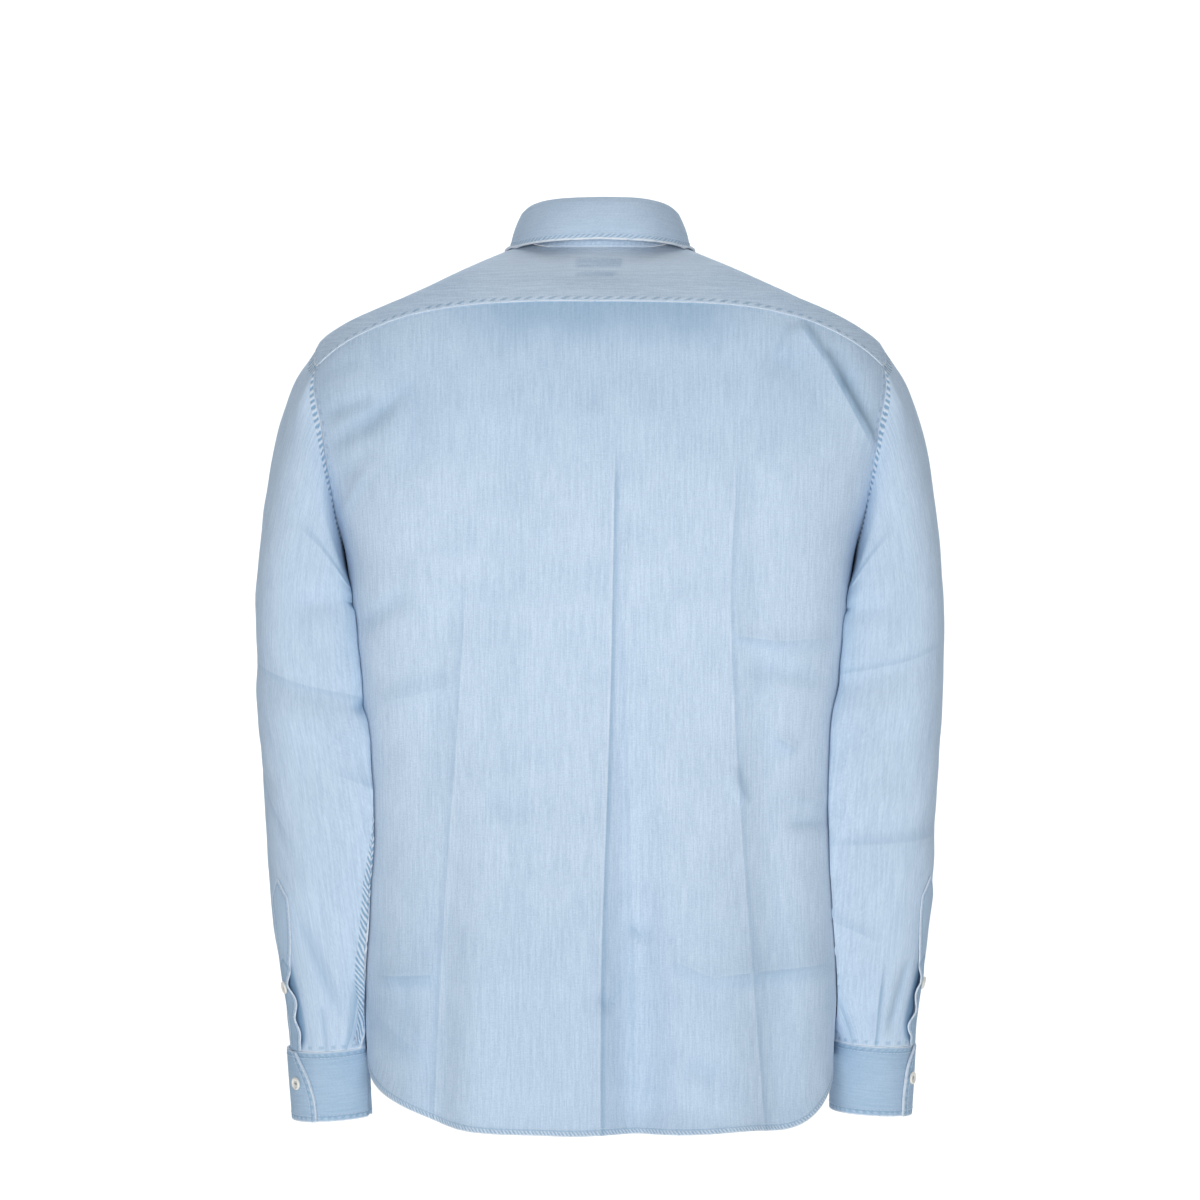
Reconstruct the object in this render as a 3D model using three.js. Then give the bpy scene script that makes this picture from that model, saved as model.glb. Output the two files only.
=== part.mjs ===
// A long-sleeved light denim shirt for an adult, buttoned up and filled out as when it is worn.
// Units are millimetres. +Z is up, the front faces -Y, and the wearer's left arm is at +X.
// The origin is in the middle of the neck opening, level with the points where neck and shoulders meet.

import * as THREE from "three";

// Driving dimensions
const clothWall = 1.2;
const collarWall = 2.0;
const cuffWall = 2.2;
const placketWall = 1.2;
const seamGap = 0.3;
const lapGap = 0.45;
const placketGap = 0.6;
const frontLap = 17; // each front passes the centre line by this much
const sleeveClearance = 2.6;
const leafClearance = 2.3;
const cuffHeight = 61;
const buttonRadius = 5.5;
const buttonThickness = 2.6;
const frontButtonCount = 6;
const frontButtonFirst = -142;
const frontButtonPitch = 92;

// How finely the cloth is divided
const seamRows = 14; // hem to armpit
const armholeRows = 8; // armpit to yoke
const backColumns = 34;
const yokeArmColumns = 5; // along the yoke's own stretch of the armhole
const yokeRows = 6;
const frontColumns = 15;
const sleeveRows = 23;
const cuffColumns = 24;
const cuffRows = 3;
const leafColumns = 34;
const lapColumns = 2; // at each end of the stand, past the leaf
const standRows = 3;
const placketColumns = 4;
const placketRows = 10;

// The torso's sections, from hem to neck. halfWidth is centre to side; back and front are depths behind and before
// the side; square is 2 for an ellipse and more for a boxier section; zSide, zBack and zFront are the section's
// heights at the side, centre back and centre front; bend sets how late the height turns towards the side.
const torsoSections = [
  { level: 0, halfWidth: 199, back: 121, front: 118, square: 2.8, zSide: -692, zBack: -748, zFront: -738, bend: 0.92 },
  { level: 1, halfWidth: 203, back: 119, front: 119, square: 2.8, zSide: -630, zBack: -662, zFront: -656, bend: 1 },
  { level: 2, halfWidth: 201, back: 115, front: 120, square: 2.8, zSide: -560, zBack: -572, zFront: -570, bend: 1 },
  { level: 3, halfWidth: 199, back: 110, front: 121, square: 2.8, zSide: -490, zBack: -494, zFront: -494, bend: 1 },
  { level: 4, halfWidth: 203, back: 108, front: 121, square: 2.8, zSide: -415, zBack: -418, zFront: -418, bend: 1 },
  { level: 5, halfWidth: 211, back: 112, front: 120, square: 2.8, zSide: -340, zBack: -344, zFront: -344, bend: 1 },
  { level: 6, halfWidth: 217, back: 117, front: 117, square: 2.8, zSide: -268, zBack: -270, zFront: -272, bend: 1 },
  { level: 7, halfWidth: 230, back: 119, front: 113, square: 2.8, zSide: -228, zBack: -208, zFront: -222, bend: 1.1 },
  { level: 8, halfWidth: 247, back: 117, front: 107, square: 2.75, zSide: -180, zBack: -134, zFront: -178, bend: 1.5 },
  { level: 9, halfWidth: 251.5, back: 107, front: 98, square: 2.65, zSide: -117, zBack: -57, zFront: -142, bend: 2.0 },
  { level: 9.4, halfWidth: 240, back: 101, front: 94, square: 2.5, zSide: -86, zBack: -47, zFront: -128, bend: 2.1 },
  { level: 10, halfWidth: 200, back: 92, front: 87, square: 2.4, zSide: -64.5, zBack: -36, zFront: -112, bend: 2.0 },
  { level: 11, halfWidth: 130, back: 80, front: 76, square: 2.2, zSide: -29, zBack: -21, zFront: -93, bend: 1.6 },
  { level: 12, halfWidth: 64, back: 68, front: 66, square: 2.1, zSide: 0, zBack: -10, zFront: -78, bend: 1.3 },
];
const yokeLevel = 9;
const neckLevel = 12;

// The armhole, as places on the torso: angle from the side seam, towards the back, and level.
const armholeBack = [
  { at: 0, angle: 0, level: 6 },
  { at: 0.2, angle: 12, level: 6.4 },
  { at: 0.4, angle: 21, level: 7 },
  { at: 0.65, angle: 27.5, level: 7.8 },
  { at: 1, angle: 26, level: 9 },
];
const armholeYoke = [
  { at: 0, angle: 26, level: 9 },
  { at: 0.4, angle: 12, level: 9.28 },
  { at: 0.7, angle: 0, level: 9.42 },
  { at: 1, angle: -14, level: 9.52 },
];
const armholeFront = [
  { at: 0, angle: 0, level: 6 },
  { at: 0.2, angle: -13, level: 6.4 },
  { at: 0.4, angle: -24, level: 7 },
  { at: 0.7, angle: -33, level: 8 },
  { at: 0.87, angle: -27, level: 8.9 },
  { at: 1, angle: -14, level: 9.52 },
];
const frontYokeAngle = -14;

// Hanging folds of the torso: where the fold runs at its top and its foot (x, z), how far it stands out
// at its foot, and its half-width there.
const torsoFolds = [
  { side: "back", topX: 6, topZ: -160, footX: 22, footZ: -760, depth: 9, halfWidth: 26 },
  { side: "back", topX: -20, topZ: -170, footX: -31, footZ: -760, depth: -13, halfWidth: 20 },
  { side: "back", topX: -50, topZ: -260, footX: -88, footZ: -760, depth: 8, halfWidth: 38 },
  { side: "back", topX: -112, topZ: -170, footX: -152, footZ: -760, depth: -9, halfWidth: 24 },
  { side: "back", topX: 70, topZ: -250, footX: 92, footZ: -760, depth: 6, halfWidth: 40 },
  { side: "back", topX: 118, topZ: -220, footX: 139, footZ: -760, depth: -10, halfWidth: 20 },
  { side: "front", topX: 70, topZ: -210, footX: 96, footZ: -750, depth: 7, halfWidth: 34 },
  { side: "front", topX: 118, topZ: -230, footX: 148, footZ: -750, depth: -7, halfWidth: 24 },
  { side: "front", topX: -64, topZ: -210, footX: -88, footZ: -750, depth: 6, halfWidth: 36 },
  { side: "front", topX: -112, topZ: -250, footX: -144, footZ: -750, depth: -8, halfWidth: 24 },
];

// The back hem hangs a little lower on the right.
const hemDips = [
  { x: -168, halfWidth: 34, drop: 11 },
  { x: 176, halfWidth: 34, drop: -8 },
];

// The left sleeve's sections from shoulder to wrist. outerX, outerZ and innerX, innerZ are the ends of the
// section away from and next to the torso; middleY and halfDepth are its centre and half-size from front to back;
// yaw turns it in plan, in degrees.
const sleeveSections = [
  { at: 0, outerX: 240, outerZ: -85, innerX: 219, innerZ: -268, middleY: -2, halfDepth: 58, yaw: 0 },
  { at: 0.06, outerX: 260, outerZ: -116, innerX: 219, innerZ: -272, middleY: -2, halfDepth: 65, yaw: 0 },
  { at: 0.13, outerX: 275, outerZ: -155, innerX: 218, innerZ: -279, middleY: -3, halfDepth: 69, yaw: 0 },
  { at: 0.22, outerX: 286, outerZ: -215, innerX: 217, innerZ: -291, middleY: -6, halfDepth: 71, yaw: 3 },
  { at: 0.31, outerX: 292, outerZ: -280, innerX: 212, innerZ: -313, middleY: -10, halfDepth: 71, yaw: 8 },
  { at: 0.41, outerX: 292.5, outerZ: -350, innerX: 205, innerZ: -355, middleY: -13, halfDepth: 69, yaw: 12 },
  { at: 0.51, outerX: 290.5, outerZ: -420, innerX: 197, innerZ: -418, middleY: -13, halfDepth: 66, yaw: 12 },
  { at: 0.61, outerX: 287.5, outerZ: -488, innerX: 193, innerZ: -480, middleY: -10, halfDepth: 62, yaw: 10 },
  { at: 0.72, outerX: 283, outerZ: -560, innerX: 194, innerZ: -550, middleY: -8, halfDepth: 56, yaw: 7 },
  { at: 0.86, outerX: 275, outerZ: -632, innerX: 197, innerZ: -622, middleY: -8, halfDepth: 48, yaw: 4 },
  { at: 1, outerX: 269, outerZ: -688, innerX: 200, innerZ: -684, middleY: -9, halfDepth: 40.5, yaw: 0 },
];
const sleeveSquare = 2.25;
const capBlend = 0.17; // share of the sleeve over which it leaves the armhole's outline
const clearedBy = 0.03; // share of the sleeve by which it stands its full distance off the torso

// What differs between the arms: how far the forearm lies back and is turned,
// how far the wrist lies in, and how much longer it hangs.
const arms = {
  left: { mirror: 1, forearmBack: 14, forearmYaw: -12, wristIn: 3.5, drop: 2 },
  right: { mirror: -1, forearmBack: 0, forearmYaw: 4, wristIn: 0, drop: 0 },
};

// Folds of the sleeves: each runs between two places on the sleeve, given as the angle from the outer side towards
// the back, in degrees, and the share of the sleeve's length. depth is how far it stands out in the middle.
const sleeveFolds = [
  { arm: "left", angle: 40, at: 0.42, endAngle: 160, endAt: 0.475, depth: -4, halfWidth: 12 },
  { arm: "left", angle: 30, at: 0.46, endAngle: 150, endAt: 0.52, depth: 4, halfWidth: 18 },
  { arm: "left", angle: 150, at: 0.22, endAngle: 100, endAt: 0.34, depth: -4, halfWidth: 14 },
  { arm: "left", angle: 16, at: 0.52, endAngle: 66, endAt: 0.64, depth: -3, halfWidth: 16 },
  { arm: "left", angle: 92, at: 0.78, endAngle: 106, endAt: 1.06, depth: 4, halfWidth: 12 },
  { arm: "left", angle: 200, at: 0.45, endAngle: 290, endAt: 0.55, depth: -5, halfWidth: 14 },
  { arm: "left", angle: 220, at: 0.6, endAngle: 320, endAt: 0.5, depth: 4, halfWidth: 18 },
  { arm: "right", angle: 170, at: 0.46, endAngle: 44, endAt: 0.4, depth: -4, halfWidth: 12 },
  { arm: "right", angle: 160, at: 0.51, endAngle: 50, endAt: 0.46, depth: 4, halfWidth: 18 },
  { arm: "right", angle: 160, at: 0.24, endAngle: 110, endAt: 0.34, depth: -4, halfWidth: 14 },
  { arm: "right", angle: 145, at: 0.66, endAngle: 26, endAt: 0.62, depth: -3, halfWidth: 16 },
  { arm: "right", angle: 84, at: 0.84, endAngle: 92, endAt: 1.06, depth: 4, halfWidth: 12 },
  { arm: "right", angle: 205, at: 0.5, endAngle: 300, endAt: 0.44, depth: -5, halfWidth: 14 },
  { arm: "right", angle: 210, at: 0.7, endAngle: 310, endAt: 0.62, depth: 4, halfWidth: 18 },
];

// The placket's free edge, as degrees back from the outer side, from the tower's top to the cuff.
const placketEdges = [
  { at: 0, left: 57, right: 54 },
  { at: 0.3, left: 50, right: 51 },
  { at: 0.44, left: 42, right: 44 },
  { at: 0.6, left: 43, right: 47 },
  { at: 0.72, left: 45, right: 51 },
  { at: 0.87, left: 44, right: 52 },
  { at: 0.95, left: 41, right: 45 },
  { at: 1, left: 37, right: 34 },
];
const placketTop = 0.69; // share of the sleeve above the placket
const placketPeak = 0.045; // height of the tower's point, as a share of the placket
const placketAngle = 25;
const placketGape = 2.2;
const placketButtonAt = 0.56;
const slitBehindEdge = 14; // degrees from the free edge to the slit it covers
const slitHalfAngle = 1.2;

// The cuff's sections: share of its height, half-sizes, and where each arm's free end lies, in degrees.
const cuffSections = [
  { at: 0, halfWidth: 35, halfDepth: 41, left: 28, right: 20 },
  { at: 0.35, halfWidth: 34.8, halfDepth: 40.6, left: 40, right: 40 },
  { at: 0.7, halfWidth: 34.5, halfDepth: 39.9, left: 53, right: 48 },
  { at: 0.88, halfWidth: 34.3, halfDepth: 39.4, left: 58, right: 49 },
  { at: 1, halfWidth: 34.2, halfDepth: 39, left: 53, right: 43 },
];
const cuffLapAngle = 36;
const cuffForwardLean = 7;
const cuffInwardLean = 2;
const cuffButtonAt = 0.45;
const cuffButtonAngle = { left: 31, right: 36 };

// The collar's rings, in the torso's columns: the stand's foot and top, then the leaf from the stand's top
// up the neck side, over the fold and down to where it leaves for its lower edge.
const standFoot = { halfWidth: 63.4, back: 67.6, front: 65.6, square: 2.1, zSide: 0.6, zBack: -9.3, zFront: -77.2, bend: 1.3 };
const standTop = { halfWidth: 62, back: 68.5, front: 63, square: 2.1, zSide: 19, zBack: 24, zFront: -50, bend: 0.9 };
const leafRings = [
  { halfWidth: 60.1, back: 66.6, front: 61, square: 2.1, zSide: 21, zBack: 24.9, zFront: -48, bend: 0.9 },
  { halfWidth: 60.9, back: 67.4, front: 61.6, square: 2.1, zSide: 24.8, zBack: 29.4, zFront: -44, bend: 0.9 },
  { halfWidth: 64.4, back: 71.4, front: 64.8, square: 2.1, zSide: 27, zBack: 32.6, zFront: -41.6, bend: 0.9 },
  { halfWidth: 68.6, back: 75.9, front: 69, square: 2.1, zSide: 23.5, zBack: 29.4, zFront: -45, bend: 0.9 },
];
// The leaf's lower edge, from centre back to the collar point.
const leafEdge = [
  { at: 0, x: 0, y: 84, z: -8 },
  { at: 0.25, x: 46, y: 70, z: -7.5 },
  { at: 0.43, x: 71, y: 37, z: -6 },
  { at: 0.57, x: 79.5, y: 4, z: -7 },
  { at: 0.74, x: 79, y: -36, z: -36 },
  { at: 0.88, x: 64, y: -70, z: -77 },
  { at: 1, x: 44, y: -91, z: -111 },
];
const leafFrontAngle = -85; // where the two leaves start, short of centre front
const leafBulge = 2;
const leafSteps = [0.28, 0.55, 0.8, 1]; // rows between the leaf's last ring and its edge
const standLapAngle = 16;
const standLapBlend = 26;
const standCornerDrop = 9; // the stand's upper corners are rounded down by this much
const standButtonHeight = 0.5;

const denim = { color: 0xa9c4e0, roughness: 0.9, metalness: 0 };
const shell = { color: 0xece9df, roughness: 0.35, metalness: 0 };

// Small helpers

const radians = (degrees) => (degrees * Math.PI) / 180;
const mix = (a, b, t) => a + (b - a) * t;
const vector = (x, y, z) => new THREE.Vector3(x, y, z);

function smooth(t) {
  const s = Math.min(1, Math.max(0, t));
  return s * s * (3 - 2 * s);
}

// One column of a table as a smooth curve through its rows.
function curveThrough(rows, key, column) {
  const x = rows.map((row) => row[key]);
  const y = rows.map((row) => row[column]);
  const last = x.length - 1;
  const slope = (i) => (y[i + 1] - y[i]) / (x[i + 1] - x[i]);
  const tangents = x.map((_, i) => {
    if (i === 0) return slope(0);
    if (i === last) return slope(last - 1);
    const before = x[i] - x[i - 1];
    const after = x[i + 1] - x[i];
    return (slope(i - 1) * after + slope(i) * before) / (before + after);
  });
  return (at) => {
    let i = 0;
    while (i < last - 1 && at > x[i + 1]) i += 1;
    const width = x[i + 1] - x[i];
    const t = Math.min(1, Math.max(0, (at - x[i]) / width));
    const t2 = t * t;
    const t3 = t2 * t;
    return (
      y[i] * (2 * t3 - 3 * t2 + 1) +
      tangents[i] * width * (t3 - 2 * t2 + t) +
      y[i + 1] * (3 * t2 - 2 * t3) +
      tangents[i + 1] * width * (t3 - t2)
    );
  };
}

// A whole table as one function that gives a row at any place.
function tableAt(rows, key) {
  const columns = Object.keys(rows[0]).filter((name) => name !== key && typeof rows[0][name] === "number");
  const curves = columns.map((name) => curveThrough(rows, key, name));
  return (at) => Object.fromEntries(columns.map((name, i) => [name, curves[i](at)]));
}

// A point on a ring: angle 0 is the left side, 90 the centre back and -90 the centre front.
function ringPoint(ring, angle) {
  const c = Math.cos(angle);
  const s = Math.sin(angle);
  const scale = (Math.abs(c) ** ring.square + Math.abs(s) ** ring.square) ** (-1 / ring.square);
  const depth = s > 0 ? ring.back : ring.front;
  const middle = s > 0 ? ring.zBack : ring.zFront;
  const share = smooth(Math.abs(s)) ** ring.bend;
  return vector(ring.halfWidth * c * scale, depth * s * scale, mix(ring.zSide, middle, share));
}

// The torso and its folds

const torsoRing = tableAt(torsoSections, "level");

function foldDepth(point) {
  const side = point.y > 0 ? "back" : "front";
  let depth = 0;
  for (const fold of torsoFolds) {
    if (fold.side !== side) continue;
    const down = (fold.topZ - point.z) / (fold.topZ - fold.footZ);
    const share = smooth(down);
    const across = (point.x - mix(fold.topX, fold.footX, down)) / fold.halfWidth;
    depth += fold.depth * share * Math.exp(-across * across);
  }
  return depth * smooth((Math.abs(point.y) - 30) / 50);
}

function torsoPlain(angle, level) {
  const point = ringPoint(torsoRing(level), angle);
  for (const dip of point.y > 0 ? hemDips : []) {
    const across = (point.x - dip.x) / dip.halfWidth;
    point.z -= dip.drop * smooth(1 - level / 2) * Math.exp(-across * across);
  }
  return point;
}

function normalOf(surface, angle, level) {
  const step = 0.01;
  const across = surface(angle + step, level).sub(surface(angle - step, level));
  const low = Math.max(0, level - step);
  const high = Math.min(neckLevel, level + step);
  const along = surface(angle, high).sub(surface(angle, low));
  return across.cross(along).normalize();
}

function torsoFolded(angle, level) {
  const point = torsoPlain(angle, level);
  return point.addScaledVector(normalOf(torsoPlain, angle, level), foldDepth(point));
}

function torsoVertex(angle, level) {
  return { point: torsoFolded(angle, level), normal: normalOf(torsoFolded, angle, level) };
}

// The torso as a cloud of points with normals, to hold sleeves and collar clear of it.
const torsoCloud = [];
for (let level = 0; level <= neckLevel; level += 0.125) {
  for (let degree = 0; degree < 360; degree += 3) {
    torsoCloud.push(torsoVertex(radians(degree), level));
  }
}

function keptClear(point, clearance) {
  let nearest = null;
  let least = Infinity;
  for (const sample of torsoCloud) {
    const distance = sample.point.distanceToSquared(point);
    if (distance < least) {
      least = distance;
      nearest = sample;
    }
  }
  const height = point.clone().sub(nearest.point).dot(nearest.normal);
  return height < clearance ? point.clone().addScaledVector(nearest.normal, clearance - height) : point;
}

// Walls of cloth

// Makes a closed wall from a grid of rows, each a list of { point, normal }. The grid is the outer face.
// ring joins each row's end to its start, below row openFrom if that is given.
function wallGeometry(grid, thickness, ring = false, openFrom = Infinity) {
  const rows = grid.length;
  const columns = grid[0].length;
  const positions = [];
  for (const row of grid) {
    for (const { point } of row) positions.push(point);
  }
  for (const row of grid) {
    for (const { point, normal } of row) positions.push(point.clone().addScaledVector(normal, -thickness));
  }
  // In a ring the last column repeats the first, and the two are one vertex as far as the ring is joined.
  const index = (row, column) => {
    const joined = ring && column === columns - 1 && row <= openFrom;
    return row * columns + (joined ? 0 : column);
  };
  const inner = rows * columns;
  const quads = [];
  for (let row = 0; row < rows - 1; row += 1) {
    for (let column = 0; column < columns - 1; column += 1) {
      quads.push([
        index(row, column),
        index(row, column + 1),
        index(row + 1, column + 1),
        index(row + 1, column),
      ]);
    }
  }
  const edges = new Set();
  for (const quad of quads) {
    quad.forEach((start, corner) => edges.add(`${start},${quad[(corner + 1) % 4]}`));
  }
  const faces = [];
  const addQuad = (a, b, c, d) => faces.push([a, b, c], [a, c, d]);
  for (const [a, b, c, d] of quads) {
    addQuad(a, b, c, d);
    faces.push([inner + a, inner + c, inner + b], [inner + a, inner + d, inner + c]);
  }
  for (const edge of edges) {
    const [start, end] = edge.split(",").map(Number);
    if (!edges.has(`${end},${start}`)) addQuad(end, start, inner + start, inner + end);
  }
  const geometry = new THREE.BufferGeometry();
  const flat = new Float32Array(positions.flatMap((p) => [p.x, p.y, p.z]));
  geometry.setAttribute("position", new THREE.BufferAttribute(flat, 3));
  const volume = faces.reduce((sum, [a, b, c]) => {
    return sum + positions[a].dot(positions[b].clone().cross(positions[c]));
  }, 0);
  const facing = volume > 0 ? faces : faces.map(([a, b, c]) => [a, c, b]);
  geometry.setIndex(facing.flat());
  const used = geometry.toNonIndexed();
  used.computeVertexNormals();
  return used;
}

// Draws a grid's open edges in by half a seam gap.
function drawnIn(grid, ring = false) {
  const rows = grid.length;
  const columns = grid[0].length;
  const moved = grid.map((row) => row.map((vertex) => ({ point: vertex.point.clone(), normal: vertex.normal })));
  const pull = (row, column, towardRow, towardColumn) => {
    const direction = grid[towardRow][towardColumn].point.clone().sub(grid[row][column].point).normalize();
    moved[row][column].point.addScaledVector(direction, seamGap / 2);
  };
  for (let column = 0; column < columns; column += 1) {
    pull(0, column, 1, column);
    pull(rows - 1, column, rows - 2, column);
  }
  for (let row = 0; row < rows && !ring; row += 1) {
    pull(row, 0, row, 1);
    pull(row, columns - 1, row, columns - 2);
  }
  return moved;
}

// Normals of a grid of points from its own neighbours, pointing outward on its last row.
function withNormals(points, ring = false) {
  const rows = points.length;
  const columns = points[0].length;
  const normals = points.map((row, j) =>
    row.map((_, i) => {
      const onSeam = ring && (i === 0 || i === columns - 1);
      const before = onSeam ? row[columns - 2] : row[Math.max(0, i - 1)];
      const after = onSeam ? row[1] : row[Math.min(columns - 1, i + 1)];
      const below = points[Math.max(0, j - 1)][i];
      const above = points[Math.min(rows - 1, j + 1)][i];
      return after.clone().sub(before).cross(above.clone().sub(below)).normalize();
    }),
  );
  const end = points[rows - 1];
  const centre = end.reduce((sum, p) => sum.add(p), vector(0, 0, 0)).divideScalar(columns);
  const outward = end.reduce((sum, p, i) => sum + normals[rows - 1][i].dot(p.clone().sub(centre)), 0);
  const sign = Math.sign(outward);
  return points.map((row, j) => row.map((point, i) => ({ point, normal: normals[j][i].multiplyScalar(sign) })));
}

function meshOf(name, geometry, look) {
  const mesh = new THREE.Mesh(geometry, new THREE.MeshStandardMaterial(look));
  mesh.name = name;
  return mesh;
}

const countTo = (count) => Array.from({ length: count + 1 }, (_, i) => i / count);

// The armhole's stations, shared by back, yoke, front and sleeve

const backStation = tableAt(armholeBack, "at");
const yokeStation = tableAt(armholeYoke, "at");
const frontStation = tableAt(armholeFront, "at");

const backArmStations = countTo(armholeRows).map(backStation);
const yokeArmStations = countTo(yokeArmColumns).map(yokeStation);
const frontArmStations = countTo(armholeRows).map(frontStation);
const seamLevels = countTo(seamRows).map((share) => share * armholeBack[0].level);

// Back: rows of constant level between the two side seams and armholes

function backPanel() {
  const edges = seamLevels
    .slice(0, -1)
    .map((level) => ({ angle: 0, level }))
    .concat(backArmStations);
  const grid = edges.map((edge) =>
    countTo(backColumns).map((share) => {
      const angle = mix(edge.angle, 180 - edge.angle, share);
      return torsoVertex(radians(angle), edge.level);
    }),
  );
  return wallGeometry(drawnIn(grid), clothWall);
}

// Yoke: columns of constant angle from the armholes and the back seam up to the neck

function yokePanel() {
  const leftArm = [...yokeArmStations].reverse();
  const rightArm = yokeArmStations.map((station) => ({ angle: 180 - station.angle, level: station.level }));
  const cornerAngle = armholeYoke[0].angle;
  const across = countTo(backColumns)
    .slice(1, -1)
    .map((share) => ({ angle: mix(cornerAngle, 180 - cornerAngle, share), level: yokeLevel }));
  const outer = [...leftArm, ...across, ...rightArm];
  const grid = countTo(yokeRows).map((share) =>
    outer.map((edge) => torsoVertex(radians(edge.angle), mix(edge.level, neckLevel, share))),
  );
  return wallGeometry(drawnIn(grid), clothWall);
}

// Fronts: rows of constant level from the side seam, armhole and yoke seam to past the centre line

const frontEdge = seamLevels
  .slice(0, -1)
  .map((level) => ({ angle: 0, level }))
  .concat(frontArmStations)
  .concat(
    countTo(yokeRows)
      .slice(1)
      .map((share) => ({ angle: frontYokeAngle, level: mix(frontArmStations[armholeRows].level, neckLevel, share) })),
  );

function lapAngle(level) {
  return (Math.asin(frontLap / torsoRing(level).halfWidth) * 180) / Math.PI;
}

function frontPanel(mirror, lapHeight) {
  const grid = frontEdge.map((edge) =>
    countTo(frontColumns).map((share) => {
      const angle = mix(edge.angle, -90 - lapAngle(edge.level), share);
      const vertex = torsoVertex(radians(mirror > 0 ? angle : 180 - angle), edge.level);
      const lift = lapHeight * smooth((frontLap + 30 - vertex.point.x) / 22);
      vertex.point.addScaledVector(vertex.normal, lift);
      return vertex;
    }),
  );
  return wallGeometry(drawnIn(grid), clothWall);
}

// Sleeves

const sleeveSection = tableAt(sleeveSections, "at");
const placketEdge = tableAt(placketEdges, "at");

// The sleeve's columns run from the armhole's upper back corner down to the underarm, up the front and over
// the shoulder. sectionAngle is the place of each on a section, in degrees.
const sleeveColumns = [
  ...[...backArmStations].reverse().map((station, i) => ({ ...station, sectionAngle: 50 + (130 * i) / armholeRows })),
  ...frontArmStations.slice(1).map((station, i) => ({ ...station, sectionAngle: 180 + (140 * (i + 1)) / armholeRows })),
  ...[...yokeArmStations]
    .reverse()
    .slice(1)
    .map((station, i) => ({ ...station, sectionAngle: 320 + (90 * (i + 1)) / yokeArmColumns })),
];

// The axes and half-sizes of a section of the left sleeve, with the arm's own bend of the forearm.
function sleeveFrame(arm, at) {
  const row = sleeveSection(at);
  const low = smooth((at - 0.45) / 0.45);
  const yaw = radians(row.yaw + arm.forearmYaw * low);
  const tilt = Math.atan2(row.outerZ - row.innerZ, row.outerX - row.innerX);
  return {
    centre: vector(
      (row.outerX + row.innerX) / 2 - arm.wristIn * smooth((at - 0.6) / 0.4),
      row.middleY + arm.forearmBack * low,
      (row.outerZ + row.innerZ) / 2 - arm.drop * at,
    ),
    outward: vector(Math.cos(tilt) * Math.cos(yaw), -Math.cos(tilt) * Math.sin(yaw), Math.sin(tilt)),
    backward: vector(Math.sin(yaw), Math.cos(yaw), 0),
    halfWidth: Math.hypot(row.outerX - row.innerX, row.outerZ - row.innerZ) / 2,
    halfDepth: row.halfDepth,
  };
}

function onSection(frame, degrees, square, widthExtra = 0) {
  const c = Math.cos(radians(degrees));
  const s = Math.sin(radians(degrees));
  const scale = (Math.abs(c) ** square + Math.abs(s) ** square) ** (-1 / square);
  return frame.centre
    .clone()
    .addScaledVector(frame.outward, (frame.halfWidth + widthExtra) * c * scale)
    .addScaledVector(frame.backward, (frame.halfDepth + widthExtra) * s * scale);
}

function sleeveFoldDepth(side, degrees, at) {
  const girth = 1.25; // millimetres of sleeve for one degree
  const length = 640;
  let depth = 0;
  for (const fold of sleeveFolds) {
    if (fold.arm !== side) continue;
    const along = { x: (fold.endAngle - fold.angle) * girth, y: (fold.endAt - fold.at) * length };
    const from = { x: (((degrees - fold.angle + 540) % 360) - 180) * girth, y: (at - fold.at) * length };
    const span = Math.hypot(along.x, along.y);
    const share = (from.x * along.x + from.y * along.y) / (span * span);
    const off = (from.x * along.y - from.y * along.x) / span / fold.halfWidth;
    const ends = smooth((share + 0.15) / 0.4) * smooth((1.15 - share) / 0.4);
    depth += fold.depth * ends * Math.exp(-off * off);
  }
  return depth;
}

function sleevePoint(side, degrees, at) {
  const frame = sleeveFrame(arms[side], at);
  const point = onSection(frame, degrees, sleeveSquare);
  const away = point.clone().sub(frame.centre).normalize();
  return point.addScaledVector(away, sleeveFoldDepth(side, degrees, at) * smooth((1 - at) / 0.04));
}

// The slit's angle under the placket at any place on the sleeve.
function slitAngle(side, at) {
  const share = Math.max(0, (at - placketTop) / (1 - placketTop));
  return placketEdge(Math.min(share, 0.87))[side] - slitBehindEdge;
}

function sleeve(side) {
  const { mirror } = arms[side];
  const rowShares = countTo(sleeveRows).map((share) => share ** 1.12);
  const last = sleeveColumns.length - 1;
  const openRow = rowShares.findIndex((at) => at > placketTop + 0.09);
  const points = rowShares.map((at) =>
    sleeveColumns.map((column, i) => {
      const armhole = torsoFolded(radians(column.angle), column.level);
      if (at === 0) return armhole;
      const turn = (slitAngle(side, at) - sleeveColumns[0].sectionAngle) * smooth((at - 0.3) / 0.35);
      let open = 0;
      if (at > placketTop + 0.09 && i === 0) open = slitHalfAngle;
      if (at > placketTop + 0.09 && i === last) open = -slitHalfAngle;
      const degrees = column.sectionAngle + turn + open;
      const free = sleevePoint(side, degrees, at);
      const rest = armhole.clone().sub(onSection(sleeveFrame(arms[side], 0), column.sectionAngle, sleeveSquare));
      free.addScaledVector(rest, Math.max(0, 1 - at / capBlend) ** 2);
      return keptClear(free, sleeveClearance * smooth(at / clearedBy));
    }),
  );
  const mirrored = points.map((row) => row.map((p) => vector(p.x * mirror, p.y, p.z)));
  const grid = withNormals(mirrored, true);
  return wallGeometry(drawnIn(grid, true), clothWall, true, openRow - 1);
}

// The placket: a strip with a pointed top, lying on the sleeve over its slit

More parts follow.
